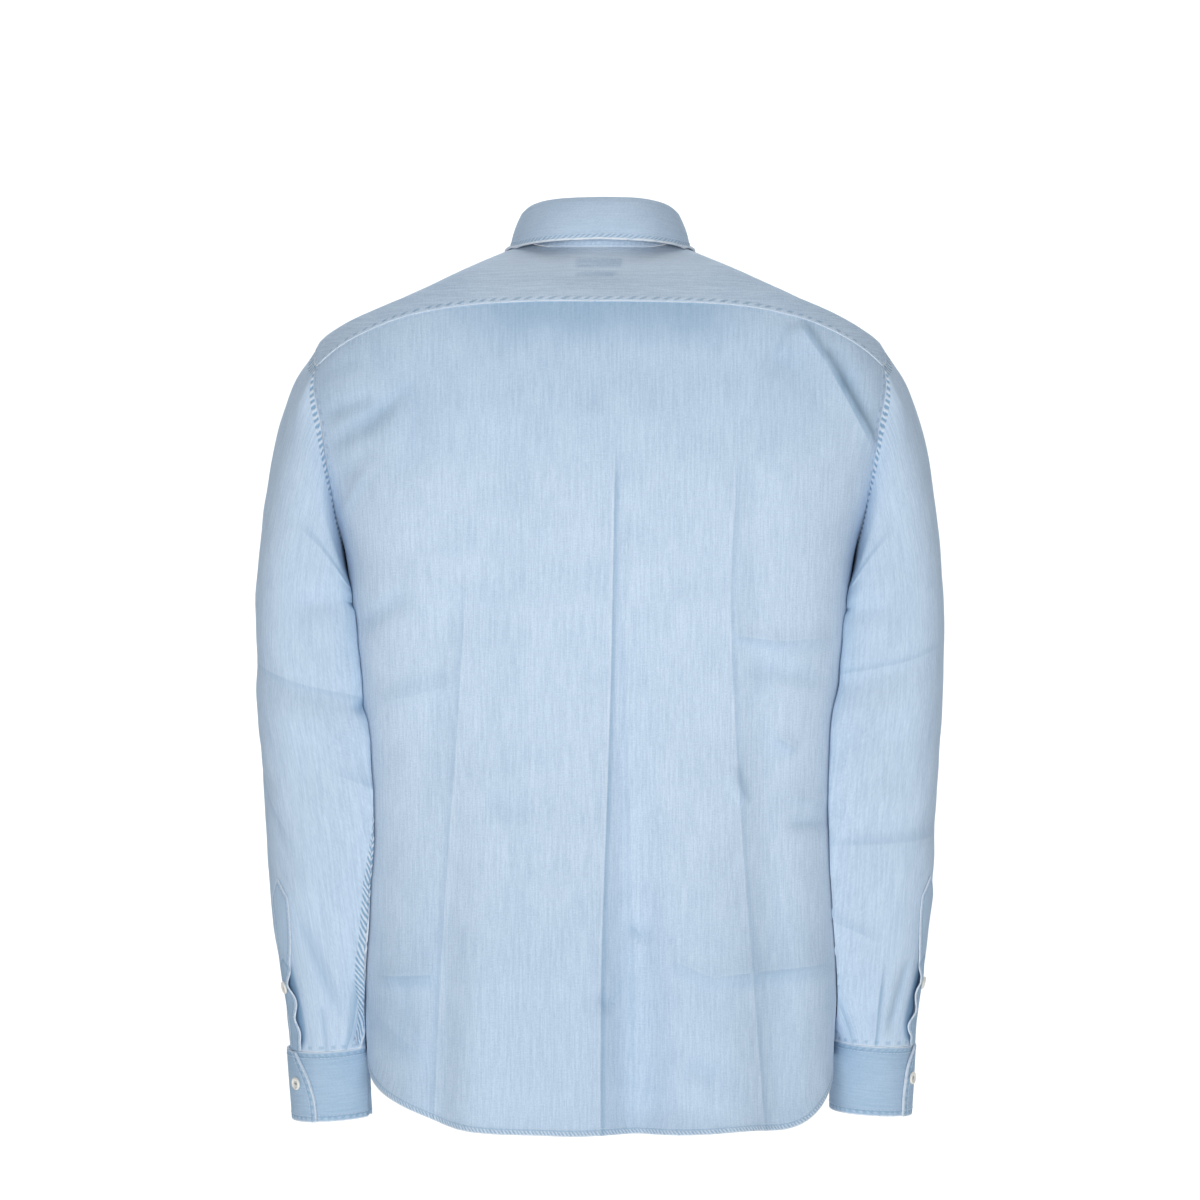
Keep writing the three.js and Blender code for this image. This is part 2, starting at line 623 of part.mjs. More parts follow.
function placketVertex(side, across, share, height) {
  const { mirror } = arms[side];
  const pointAt = (x, y) => {
    const at = mix(placketTop, 1, mix(placketPeak * Math.abs(2 * x - 1) * 2, 0.996, y));
    const reach = (at - placketTop) / (1 - placketTop);
    const p = sleevePoint(side, placketEdge(reach)[side] - placketAngle * x, at);
    return vector(p.x * mirror, p.y, p.z);
  };
  const step = 0.02;
  const span = pointAt(across + step, share).sub(pointAt(across - step, share));
  const fall = pointAt(across, Math.min(1, share + step)).sub(pointAt(across, Math.max(0, share - step)));
  const normal = span.cross(fall).normalize();
  const point = pointAt(across, share);
  if (normal.x * mirror < 0) normal.negate();
  const gape = placketGape * (1 - across) ** 2 * smooth((share - 0.4) / 0.15) * smooth((0.97 - share) / 0.12);
  point.addScaledVector(normal, height + gape);
  return { point, normal };
}

function placket(side) {
  const grid = countTo(placketRows).map((share) =>
    countTo(placketColumns).map((across) => placketVertex(side, across, share, placketWall + placketGap)),
  );
  return wallGeometry(grid, placketWall);
}

// Cuffs: a strip that goes once round the wrist and passes under its own free end

const cuffSection = tableAt(cuffSections, "at");

function cuffPoint(side, share, degrees, out) {
  const arm = arms[side];
  const wrist = sleeveFrame(arm, 1);
  const row = cuffSection(share);
  const down = vector(-Math.sin(radians(cuffInwardLean)), -Math.sin(radians(cuffForwardLean)), -1).normalize();
  const centre = wrist.centre.clone().addScaledVector(down, seamGap / 2 + cuffHeight * share);
  const frame = { ...wrist, centre, halfWidth: row.halfWidth, halfDepth: row.halfDepth };
  const point = keptClear(onSection(frame, degrees, sleeveSquare, out), sleeveClearance);
  return vector(point.x * arm.mirror, point.y, point.z);
}

function cuffLift(turned) {
  return (cuffWall + lapGap) * smooth((cuffLapAngle + 70 - turned) / 60);
}

function cuff(side) {
  const points = countTo(cuffRows).map((share) => {
    const free = cuffSection(share)[side];
    const under = cuffSection(0)[side] - cuffLapAngle;
    const wholeTurn = 360 + free - under;
    return countTo(cuffColumns).map((part) => {
      const turned = part * wholeTurn;
      return cuffPoint(side, share, free - turned, cuffLift(turned));
    });
  });
  return wallGeometry(withNormals(points), cuffWall);
}

// Collar: a stand that laps at the front, and a leaf that folds over it

const leafAngles = countTo(leafColumns).map((share) => mix(leafFrontAngle, 180 - leafFrontAngle, share));
const lapAngles = countTo(lapColumns).map((share) => mix(-90 - standLapAngle, leafFrontAngle, share));
const standAngles = [
  ...lapAngles.slice(0, -1),
  ...leafAngles,
  ...lapAngles.slice(0, -1).reverse().map((degrees) => 180 - degrees),
];

function standVertexHeight(share, degrees) {
  const fromCentre = Math.min(Math.abs(degrees + 90), Math.abs(degrees - 270));
  const pastEnd = degrees < -90 || degrees > 270 ? fromCentre : 0;
  return { pastEnd, drop: standCornerDrop * share * smooth((pastEnd - 3) / (standLapAngle - 3)) };
}

function standPoint(degrees, share) {
  const foot = ringPoint(standFoot, radians(degrees));
  const top = ringPoint(standTop, radians(degrees));
  const point = foot.lerp(top, share);
  const { drop } = standVertexHeight(share, degrees);
  point.z -= drop;
  const half = (collarWall + lapGap) / 2;
  const leftEnd = smooth((-90 + standLapBlend - degrees) / standLapBlend);
  const rightEnd = smooth((degrees - (270 - standLapBlend)) / standLapBlend);
  const out = half * (leftEnd - rightEnd);
  const away = vector(point.x, point.y, 0).normalize();
  return point.addScaledVector(away, out);
}

function collarStand() {
  const points = countTo(standRows).map((share) => standAngles.map((degrees) => standPoint(degrees, share)));
  return wallGeometry(withNormals(points), collarWall);
}

const leafEdgeAt = tableAt(leafEdge, "at");

function leafEdgePoint(degrees) {
  const left = degrees <= 90;
  const share = left ? (90 - degrees) / (90 - leafFrontAngle) : (degrees - 90) / (90 - leafFrontAngle);
  const edge = leafEdgeAt(Math.min(1, share));
  return vector(left ? edge.x : -edge.x, edge.y, edge.z);
}

function collarLeaf() {
  const rings = leafRings.map((ring) => leafAngles.map((degrees) => ringPoint(ring, radians(degrees))));
  const turn = rings[rings.length - 1];
  const falling = leafSteps.map((share) =>
    leafAngles.map((degrees, i) => {
      const point = turn[i].clone().lerp(leafEdgePoint(degrees), share);
      const away = vector(point.x, point.y, 0).normalize();
      point.addScaledVector(away, leafBulge * 4 * share * (1 - share));
      return keptClear(point, leafClearance + collarWall);
    }),
  );
  return wallGeometry(withNormals([...rings, ...falling]), collarWall);
}

// Buttons: round, with a raised rim and a dished middle

const buttonProfile = [
  { radius: 0, height: 0 },
  { radius: 0.86, height: 0 },
  { radius: 1, height: 0.35 },
  { radius: 0.95, height: 0.9 },
  { radius: 0.78, height: 1 },
  { radius: 0.62, height: 0.66 },
  { radius: 0, height: 0.6 },
];
const buttonSides = 14;

function button(name, at, normal) {
  const outline = buttonProfile.map(
    (row) => new THREE.Vector2(row.radius * buttonRadius, row.height * buttonThickness),
  );
  const geometry = new THREE.LatheGeometry(outline, buttonSides);
  const turn = new THREE.Quaternion().setFromUnitVectors(vector(0, 1, 0), normal);
  geometry.applyQuaternion(turn);
  const seat = at.clone().addScaledVector(normal, seamGap);
  geometry.translate(seat.x, seat.y, seat.z);
  return meshOf(name, geometry, shell);
}

// The place on the upper front, on the centre line, at a given height.
function frontButtonPlace(height) {
  let low = 0;
  let high = neckLevel;
  for (let i = 0; i < 40; i += 1) {
    const middle = (low + high) / 2;
    if (torsoFolded(radians(-90), middle).z < height) low = middle;
    else high = middle;
  }
  const { point, normal } = torsoVertex(radians(-90), low);
  return { point: point.addScaledVector(normal, clothWall + lapGap), normal };
}

// A button's seat on a surface given by two numbers, facing away from the middle of the arm.
function seatOn(surface, u, v, stepU, stepV, mirror) {
  const across = surface(u + stepU, v).sub(surface(u - stepU, v));
  const along = surface(u, v + stepV).sub(surface(u, v - stepV));
  const normal = across.cross(along).normalize();
  if (normal.x * mirror < 0) normal.negate();
  return { point: surface(u, v), normal };
}

// The shirt

const shirt = new THREE.Group();
shirt.name = "denim_shirt";
shirt.add(meshOf("back", backPanel(), denim));
shirt.add(meshOf("yoke", yokePanel(), denim));
shirt.add(meshOf("front_left", frontPanel(1, clothWall + lapGap), denim));
shirt.add(meshOf("front_right", frontPanel(-1, 0), denim));
shirt.add(meshOf("collar_stand", collarStand(), denim));
shirt.add(meshOf("collar_fall", collarLeaf(), denim));

const neckButton = standPoint(-90, standButtonHeight);
shirt.add(button("button_collar", neckButton, vector(0, -0.98, 0.2).normalize()));
for (let i = 0; i < frontButtonCount; i += 1) {
  const place = frontButtonPlace(frontButtonFirst - i * frontButtonPitch);
  shirt.add(button(`button_front_${i + 1}`, place.point, place.normal));
}

for (const side of Object.keys(arms)) {
  shirt.add(meshOf(`sleeve_${side}`, sleeve(side), denim));
  shirt.add(meshOf(`sleeve_placket_${side}`, placket(side), denim));
  shirt.add(meshOf(`cuff_${side}`, cuff(side), denim));
  const onPlacket = (across, share) => placketVertex(side, across, share, placketWall + placketGap).point;
  const flap = seatOn(onPlacket, 0.5, placketButtonAt, 0.15, 0.03, arms[side].mirror);
  shirt.add(button(`button_placket_${side}`, flap.point, flap.normal));
  const onCuff = (degrees, share) => cuffPoint(side, share, degrees, cuffWall + lapGap);
  const wrist = seatOn(onCuff, cuffButtonAngle[side], cuffButtonAt, 5, 0.06, arms[side].mirror);
  shirt.add(button(`button_cuff_${side}`, wrist.point, wrist.normal));
}

export default shirt;
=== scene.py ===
"""Looks of the denim shirt: fine cloth panels with folds, creases and seams over the CAD frame, in metres."""

import math

import bpy
import numpy as np
from mathutils import Matrix, Vector, kdtree


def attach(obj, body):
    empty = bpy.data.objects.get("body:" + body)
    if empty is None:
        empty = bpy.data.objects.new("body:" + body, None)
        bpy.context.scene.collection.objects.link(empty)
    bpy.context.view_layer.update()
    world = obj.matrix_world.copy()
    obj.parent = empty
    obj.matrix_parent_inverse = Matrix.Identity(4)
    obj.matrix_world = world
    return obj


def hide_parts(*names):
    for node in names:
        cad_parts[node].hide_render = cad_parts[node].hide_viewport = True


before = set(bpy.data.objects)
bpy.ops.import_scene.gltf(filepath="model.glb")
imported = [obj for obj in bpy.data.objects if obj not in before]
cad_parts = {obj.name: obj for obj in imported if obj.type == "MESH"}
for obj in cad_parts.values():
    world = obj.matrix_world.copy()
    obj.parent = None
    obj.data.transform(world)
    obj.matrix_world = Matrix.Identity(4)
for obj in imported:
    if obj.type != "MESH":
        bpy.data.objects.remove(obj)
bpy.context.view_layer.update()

MM = 0.001

# Sizes, in millimetres

CLOTH = 1.0
SOLID_WALL = 1.2  # room for the cloth under a lap, a flap or a button
COLLAR = 2.0
CUFF = 2.2
FRONT_LAP = 17
LAP_GAP = 0.45
PLACKET_GAP = 0.6
SLEEVE_CLEARANCE = 0.7
LEAF_CLEARANCE = 1.2
CUFF_HEIGHT = 61
BUTTON_RADIUS = 5.5
BUTTON_THICKNESS = 2.6
SEAM_LIFT = 0.7  # how far a felled seam stands up
SEAM_WIDTH = 6.5
FAR_FROM_SEAM = 99.0
FELLED, ROPED = 1.4, 1.8  # strengths of the seams that stand above flat ones, which go up to 1
HEM_INSET, ARMHOLE_INSET, TOPSTITCH_INSET, BAND_INSET = 6, 6, 5.5, 29
STITCH_RADIUS, STITCH_SIDES = 0.27, 5
# Rings of one stitch: share of its length, width and lift
STITCH_RINGS = ((0.0, 0.35, -0.2), (0.22, 1.0, 0.0), (0.78, 1.0, 0.0), (1.0, 0.35, -0.2))
CREASE_BOOST = 1.35
PRESSED_IN = 21  # how far the sleeves are pressed towards the trunk
FIRST_BUTTON_Z, BUTTON_PITCH, FRONT_BUTTONS = -142, 92, 6
BUTTON_SIDES, HOLE_SIDES, BAR_SIDES = 40, 12, 6
HOLE_AT, HOLE_RADIUS, HOLE_DEPTH, BAR_RADIUS = 1.35, 0.62, 1.2, 0.36

# Rows and columns of the grids

SIDE_ROWS, ARM_ROWS, BACK_COLUMNS = 120, 72, 241
YOKE_ROWS, YOKE_ARM_COLUMNS, YOKE_BACK_COLUMNS = 48, 40, 150
FRONT_YOKE_ROWS, FRONT_COLUMNS = 48, 80
SLEEVE_ROWS, ARM_STEPS, YOKE_STEPS = 215, 46, 28
UNDERARM = ARM_STEPS  # the column of the underarm seam
PLACKET_ROWS, PLACKET_COLUMNS_ACROSS = 90, 16
CUFF_GRID_ROWS, CUFF_GRID_COLUMNS = 40, 200
STAND_ROWS, STAND_COLUMNS, LEAF_GRID_COLUMNS = 18, 200, 220

# The torso's sections, from hem to neck

TORSO_COLUMNS = ("level", "half_width", "back", "front", "square", "z_side", "z_back", "z_front", "bend")
TORSO = (
    (0, 199, 121, 118, 3.1, -692, -748, -738, 0.92),
    (1, 203, 119, 119, 3.1, -630, -662, -656, 1),
    (2, 201, 115, 120, 3.1, -560, -572, -570, 1),
    (3, 199, 110, 121, 3.1, -490, -494, -494, 1),
    (4, 203, 108, 121, 3.1, -415, -418, -418, 1),
    (5, 211, 112, 120, 3.1, -340, -344, -344, 1),
    (6, 217, 117, 117, 3.1, -268, -270, -272, 1),
    (7, 230, 119, 113, 3.0, -228, -208, -222, 1.1),
    (8, 247, 117, 107, 2.85, -180, -134, -178, 1.5),
    (9, 251.5, 107, 98, 2.7, -117, -57, -142, 2.0),
    (9.4, 240, 101, 94, 2.5, -86, -47, -128, 2.1),
    (10, 200, 92, 87, 2.4, -64.5, -36, -112, 2.0),
    (11, 130, 80, 76, 2.2, -29, -21, -93, 1.6),
    (12, 64, 68, 66, 2.1, 0, -10, -78, 1.3),
)
UNDERARM_LEVEL, YOKE_LEVEL, NECK_LEVEL = 6, 9, 12
BACK_TOP = -57
HEM_DIPS = ((-168, 34, 11), (176, 34, -8))  # x, half-width and drop, on the back

ARM_COLUMNS = ("at", "angle", "level")
ARMHOLE_BACK = ((0, 0, 6), (0.2, 12, 6.4), (0.4, 21, 7), (0.65, 27.5, 7.8), (1, 26, 9))
ARMHOLE_YOKE = ((0, 26, 9), (0.4, 12, 9.28), (0.7, 0, 9.42), (1, -14, 9.52))
ARMHOLE_FRONT = ((0, 0, 6), (0.2, -13, 6.4), (0.4, -24, 7), (0.7, -33, 8), (0.87, -27, 8.9), (1, -14, 9.52))
FRONT_YOKE_ANGLE = -14

# Hanging folds: side, top x and z, foot x and z, depth at the foot, half-width
FOLDS = (
    ("back", 6, -160, 22, -760, 9, 26),
    ("back", -20, -170, -31, -760, -13, 20),
    ("back", -50, -260, -88, -760, 8, 38),
    ("back", -112, -170, -152, -760, -9, 24),
    ("back", 70, -250, 92, -760, 6, 40),
    ("back", 118, -220, 139, -760, -10, 20),
    ("front", 70, -210, 96, -750, 7, 34),
    ("front", 118, -230, 148, -750, -7, 24),
    ("front", -64, -210, -88, -750, 6, 36),
    ("front", -112, -250, -144, -750, -8, 24),
)

SLEEVE_COLUMNS = ("at", "outer_x", "outer_z", "inner_x", "inner_z", "middle_y", "half_depth", "yaw")
SLEEVE = (
    (0, 240, -85, 219, -268, -2, 58, 0),
    (0.06, 260, -116, 219, -272, -2, 65, 0),
    (0.13, 275, -155, 218, -279, -3, 69, 0),
    (0.22, 286, -215, 217, -291, -6, 71, 3),
    (0.31, 292, -280, 212, -313, -10, 71, 8),
    (0.41, 292.5, -350, 205, -355, -13, 69, 12),
    (0.51, 290.5, -420, 197, -418, -13, 66, 12),
    (0.61, 287.5, -488, 193, -480, -10, 62, 10),
    (0.72, 283, -560, 194, -550, -8, 56, 7),
    (0.86, 275, -632, 197, -622, -8, 48, 4),
    (1, 269, -688, 200, -684, -9, 40.5, 0),
)
SLEEVE_SQUARE = 2.25
SLEEVE_LENGTH, DEGREE_WIDTH = 640, 1.25  # for folds: the length, and the width of a degree of girth
UNDERARM_SHIFT = {"left": 38, "right": 9}
OUTER_SHADE = {"left": 0.24, "right": 0.06}
CAP_BLEND, CLEARED_BY = 0.17, 0.03
ARMS = {
    "left": {"mirror": 1, "forearm_back": 14, "forearm_yaw": -12, "wrist_in": 3.5, "drop": 2},
    "right": {"mirror": -1, "forearm_back": 0, "forearm_yaw": 4, "wrist_in": 0, "drop": 0},
}

# Folds of the sleeves: arm, angle and share of the length at one end, the same at the other, depth
# and half-width
SLEEVE_FOLDS = (
    ("left", 40, 0.42, 160, 0.475, -4, 12),
    ("left", 30, 0.46, 150, 0.52, 4, 18),
    ("left", 150, 0.22, 100, 0.34, -4, 14),
    ("left", 16, 0.52, 66, 0.64, -3, 16),
    ("left", 92, 0.78, 106, 1.06, 4, 12),
    ("left", 200, 0.45, 290, 0.55, -5, 14),
    ("left", 220, 0.6, 320, 0.5, 4, 18),
    ("right", 170, 0.46, 44, 0.4, -4, 12),
    ("right", 160, 0.51, 50, 0.46, 4, 18),
    ("right", 160, 0.24, 110, 0.34, -4, 14),
    ("right", 145, 0.66, 26, 0.62, -3, 16),
    ("right", 84, 0.84, 92, 1.06, 4, 12),
    ("right", 205, 0.5, 300, 0.44, -5, 14),
    ("right", 210, 0.7, 310, 0.62, 4, 18),
)

PLACKET_COLUMNS = ("at", "left", "right")
PLACKET_EDGE = (
    (0, 57, 54),
    (0.3, 50, 51),
    (0.44, 42, 44),
    (0.6, 43, 47),
    (0.72, 45, 51),
    (0.87, 44, 52),
    (0.95, 41, 45),
    (1, 37, 34),
)
PLACKET_TOP, PLACKET_PEAK, PLACKET_ANGLE, PLACKET_GAPE = 0.69, 0.045, 25, 4.2
PLACKET_BUTTON_AT = 0.56
PLACKET_PHASE = {"left": 1.2, "right": 2.6}
SLIT_BEHIND_EDGE, SLIT_HALF_ANGLE = 14, 1.2

CUFF_COLUMNS = ("at", "half_width", "half_depth", "left", "right")
CUFF_ROWS = (
    (0, 35, 41, 28, 20),
    (0.35, 34.8, 40.6, 40, 40),
    (0.7, 34.5, 39.9, 53, 48),
    (0.88, 34.3, 39.4, 58, 49),
    (1, 34.2, 39, 53, 43),
)
CUFF_LAP_ANGLE, CUFF_FORWARD, CUFF_INWARD = 36, 7, 2
CUFF_EDGE_REACH = 0.86
CUFF_BUTTON_AT = 0.45
CUFF_BUTTON_ANGLE = {"left": 31, "right": 36}

RING = ("half_width", "back", "front", "square", "z_side", "z_back", "z_front", "bend")
STAND_FOOT = (63.4, 67.6, 65.6, 2.1, 0.6, -9.3, -77.2, 1.3)
STAND_TOP = (62, 68.5, 63, 2.1, 19, 24, -50, 0.9)
LEAF_RINGS = (
    (60.1, 66.6, 61, 2.1, 21, 24.9, -48, 0.9),
    (60.9, 67.4, 61.6, 2.1, 24.8, 29.4, -44, 0.9),
    (64.4, 71.4, 64.8, 2.1, 27, 32.6, -41.6, 0.9),
    (68.6, 75.9, 69, 2.1, 23.5, 29.4, -45, 0.9),
)
LEAF_COLUMNS = ("at", "x", "y", "z")
LEAF_EDGE = (
    (0, 0, 83, -4),
    (0.25, 46, 69.5, -5),
    (0.43, 70, 37, -6),
    (0.57, 78, 4, -8),
    (0.74, 78.5, -36, -36),
    (0.88, 64, -70, -77),
    (1, 44, -91, -111),
)
LEAF_FRONT_ANGLE, LEAF_BULGE = -85, 2
STAND_LAP_ANGLE, STAND_LAP_BLEND, STAND_CORNER_DROP = 16, 26, 9

# Long soft pleats: side, which way the cloth falls away, its slope, and the edge as (z, x, width of the fall)
FALLS = (
    (
        "back", -1, 0.24,
        ((-192, -13, 3), (-389, -9, 9), (-480, -6, 14), (-596, -2, 22), (-690, -1, 28), (-765, -1, 31)),
    ),
    (
        "back", -1, 0.20,
        (
            (-195, -114, 12), (-308, -109, 22), (-389, -112, 24),
            (-478, -117, 26), (-609, -127, 28), (-765, -139, 30),
        ),
    ),
    ("back", 1, 0.20, ((-300, 112, 14), (-420, 120, 22), (-579, 131, 28), (-765, 140, 32))),
    ("back", 1, 0.12, ((-150, 60, 20), (-300, 62, 26), (-460, 58, 24), (-560, 56, 18))),
    ("front", 1, 0.18, ((-230, 96, 16), (-400, 104, 26), (-600, 118, 30), (-760, 128, 32))),
    ("front", -1, 0.18, ((-260, -104, 14), (-430, -108, 26), (-620, -124, 30), (-760, -134, 30))),
    ("front", -1, 0.16, ((-330, -42, 10), (-520, -48, 18), (-760, -58, 24))),
    ("front", 1, 0.14, ((-300, 44, 10), (-520, 52, 18), (-700, 58, 22))),
)
STEEPEST_FALL = 0.24

# Sharper creases of the panels: side, x and z at one end, the same at the other, height,
# half-width, and how much of the profile is a step instead of a ridge
CREASES = (
    ("back", -17, -196, -31, -752, 1.0, 3, 0.9),
    ("back", -24, -575, -38, -588, -2.0, 5, 0.5),
    ("back", 2, -632, -14, -645, -1.8, 5, 0.5),
    ("back", -190, -110, -166, -76, 2.6, 6, 0.8),
    ("back", -229, -178, -187, -104, 3.8, 7, 0.9),
    ("back", -212, -128, -196, -92, -1.1, 9, 0.2),
    ("back", -226, -150, -206, -116, -1.3, 8, 0.2),
    ("back", -158, -76, -150, -104, 1.2, 4, 0.6),
    ("back", -150, -100, -176, -134, -0.9, 12, 0.2),
    ("back", -142, -92, -150, -180, -0.8, 12, 0.2),
    ("back", 236, -118, 200, -104, -0.8, 7, 0.3),
    ("back", 232, -150, 188, -136, -1.5, 7, 0.2),
    ("back", 226, -176, 172, -140, -1.8, 8, 0.2),
    ("back", 206, -174, 150, -118, -1.2, 9, 0.2),
    ("back", 222, -206, 186, -176, -0.8, 8, 0.2),
    ("back", 218, -236, 198, -200, 1.2, 5, 0.5),
    ("back", 150, -128, 156, -200, -1.2, 10, 0.2),
    ("back", 188, -622, 134, -618, 3.0, 7, 0.7),
    ("back", 196, -650, 142, -690, 1.4, 9, 0.4),
    ("back", 200, -656, 150, -646, -1.3, 26, 0),
    ("back", -110, -336, -150, -341, 2.2, 5, 0.7),
    ("back", -140, -342, -192, -338, 1.8, 7, 0.6),
    ("back", -146, -420, -166, -432, 2.0, 6, 0.6),
    ("back", -60, -604, -100, -622, 1.8, 6, 0.6),
    ("back", -92, -618, -196, -612, 2.6, 8, 0.7),
    ("back", -160, -470, -196, -476, 1.4, 5, 0.4),
    ("back", -156, -492, -196, -494, -1.4, 5, 0.4),
    ("back", -120, -476, -108, -446, 2.2, 6, 0.4),
    ("back", -128, -362, -186, -374, -1.5, 8, 0),
    ("back", -70, -690, -98, -700, -1.4, 9, 0),
    ("back", 160, -300, 205, -330, -1.8, 9, 0.2),
    ("back", 120, -376, 186, -392, 1.4, 10, 0.4),
    ("back", 96, -470, 60, -486, -1.2, 9, 0.2),
    ("back", 0, -118, 8, -150, -1.0, 9, 0),
    ("back", 46, -96, 38, -150, 0.9, 6, 0.5),
    ("front", 44, -170, 50, -420, 1.2, 8, 0.6),
    ("front", 210, -190, 168, -232, 3.4, 8, 0.5),
    ("front", 214, -228, 176, -262, -2.4, 8, 0.2),
    ("front", -212, -196, -172, -246, 3.4, 8, 0.5),
    ("front", -205, -160, -180, -182, -2.2, 8, 0.2),
    ("front", 205, -330, 130, -352, 2.2, 8, 0.6),
    ("front", -198, -356, -122, -346, 2.4, 8, 0.6),
    ("front", 186, -618, 120, -606, 2.4, 8, 0.6),
    ("front", -188, -600, -116, -620, 2.4, 8, 0.6),
    ("front", 24, -188, 60, -196, 1.3, 7, 0.4),
    ("front", -24, -372, -58, -380, 1.3, 7, 0.4),
    ("front", 22, -464, 66, -478, 1.2, 7, 0.4),
    ("front", -22, -556, -60, -546, 1.2, 7, 0.4),
)

# Sharper creases of the sleeves, in the same columns as SLEEVE_FOLDS and with the step share
SLEEVE_CREASES = (
    ("left", 30, 0.418, 158, 0.474, 1.2, 3.5, 0.8),
    ("left", 150, 0.465, 128, 0.48, -4.2, 5, 0),
    ("left", 148, 0.262, 134, 0.28, -4.6, 6, 0),
    ("left", 10, 0.51, 70, 0.65, 1.2, 6, 0.7),
    ("left", 108, 0.86, 102, 1.03, 3.4, 4, 0.9),
    ("left", 62, 0.74, 96, 0.93, -2.2, 8, 0.3),
    ("left", 74, 0.90, 76, 1.02, -2.0, 4, 0.6),
    ("left", 132, 0.84, 130, 1.02, 2.0, 5, 0.7),
    ("left", 160, 0.62, 110, 0.56, 1.2, 6, 0.6),
    ("left", 162, 0.75, 120, 0.70, -1.4, 7, 0.3),
    ("left", 150, 0.15, 90, 0.20, 1.6, 8, 0.4),
    ("left", 200, 0.16, 262, 0.24, 1.8, 8, 0.4),
    ("left", 210, 0.42, 300, 0.49, 1.4, 6, 0.6),
    ("left", 205, 0.53, 280, 0.60, -1.5, 7, 0.3),
    ("left", 260, 0.80, 266, 1.02, 1.6, 4, 0.7),
    ("right", 166, 0.445, 44, 0.40, 1.1, 3.5, 0.8),
    ("right", 150, 0.28, 136, 0.305, -4.4, 6, 0),
    ("right", 156, 0.565, 138, 0.60, -3.4, 6, 0),
    ("right", 141, 0.665, 24, 0.635, 1.0, 6, 0.7),
    ("right", 92, 0.84, 96, 1.03, 3.2, 3, 0.95),
    ("right", 62, 0.82, 78, 0.96, -2.2, 8, 0.3),
    ("right", 124, 0.90, 126, 1.02, -1.6, 4, 0.6),
    ("right", 150, 0.75, 96, 0.80, 1.1, 7, 0.6),
    ("right", 155, 0.14, 100, 0.19, 1.6, 8, 0.4),
    ("right", 204, 0.15, 258, 0.22, 1.8, 8, 0.4),
    ("right", 215, 0.45, 300, 0.52, 1.4, 6, 0.6),
    ("right", 205, 0.58, 290, 0.53, -1.4, 7, 0.3),
    ("right", 256, 0.80, 262, 1.02, 1.6, 4, 0.7),
)

# Slow unevenness of all the cloth: wave vector (per millimetre), phase and height
WAVES = (
    (0.031, 0.011, 0.023, 0.4, 0.30),
    (-0.047, 0.021, 0.029, 1.9, 0.22),
    (0.069, -0.043, 0.017, 3.1, 0.16),
    (0.022, 0.061, -0.053, 4.4, 0.16),
    (-0.091, 0.013, 0.038, 5.6, 0.11),
    (0.118, 0.052, -0.027, 2.6, 0.09),
    (0.013, -0.022, 0.102, 0.9, 0.08),
    (-0.061, 0.083, 0.094, 3.9, 0.08),
)

# A button's profile, as shares of its radius and thickness
BUTTON_PROFILE = (
    (0.80, 0.0),
    (0.95, 0.12),
    (1.0, 0.35),
    (0.99, 0.66),
    (0.93, 0.90),
    (0.85, 1.0),
    (0.76, 0.97),
    (0.68, 0.80),
    (0.60, 0.66),
    (0.42, 0.60),
)

# The studio, in metres. Lights: name, place, target, size and power
FLOOR = -1.25
WORLD_LIGHT = 0.17
CAMERA_PLACE, CAMERA_LENS = (0, 3.0, -0.306), 104.65
LIGHTS = (
    ("key", (0.8, 3.4, 0.0), (0, 0, -0.4), (1.0, 1.0), 41),
    ("fill", (-0.9, 3.4, -0.4), (0, 0, -0.4), (1.2, 1.2), 33),
    ("front_key", (1.2, -2.4, 0.2), (0, 0, -0.4), (1.6, 1.6), 8),
    ("front_fill", (-1.2, -2.4, -0.2), (0, 0, -0.4), (1.6, 1.6), 6),
    ("backdrop_light", (0, -1.8, 3.2), (0, -4.0, -0.7), (6.0, 1.2), 190),
)

# Curves and rings


def smooth(t):
    s = np.clip(t, 0.0, 1.0)
    return s * s * (3 - 2 * s)


def mix(a, b, t):
    return a + (b - a) * t


def bell(off):
    return np.exp(-(off**2))


def curve(x, y):
    """A smooth curve through the points of one column of a table."""
    x, y = np.asarray(x, float), np.asarray(y, float)
    step, slope = np.diff(x), np.diff(y) / np.diff(x)
    tangent = np.empty_like(y)
    tangent[0], tangent[-1] = slope[0], slope[-1]
    tangent[1:-1] = (slope[:-1] * step[1:] + slope[1:] * step[:-1]) / (step[:-1] + step[1:])

    def value(at):
        at = np.asarray(at, float)
        i = np.clip(np.searchsorted(x, at, side="right") - 1, 0, len(x) - 2)
        t = np.clip((at - x[i]) / step[i], 0, 1)
        t2, t3 = t * t, t * t * t
        return (
            y[i] * (2 * t3 - 3 * t2 + 1)
            + tangent[i] * step[i] * (t3 - 2 * t2 + t)
            + y[i + 1] * (3 * t2 - 2 * t3)
            + tangent[i + 1] * step[i] * (t3 - t2)
        )

    return value


def table(rows, columns):
    key = [r[0] for r in rows]
    curves = {name: curve(key, [r[i] for r in rows]) for i, name in enumerate(columns) if i}
    return lambda at: {name: f(at) for name, f in curves.items()}


def unit(v):
    return v / np.maximum(np.linalg.norm(v, axis=-1, keepdims=True), 1e-9)


def ring_point(ring, angle):
    """angle in radians: 0 is the left side, a quarter turn is the centre back."""
    c, s = np.cos(angle), np.sin(angle)
    n = ring["square"]
    scale = (np.abs(c) ** n + np.abs(s) ** n) ** (-1 / n)
    depth = np.where(s > 0, ring["back"], ring["front"])
    middle = np.where(s > 0, ring["z_back"], ring["z_front"])
    share = smooth(np.abs(s)) ** ring["bend"]
    x, z = ring["half_width"] * c * scale, mix(ring["z_side"], middle, share)
    return np.stack([x, depth * s * scale, z], -1)


torso_ring = table(TORSO, TORSO_COLUMNS)


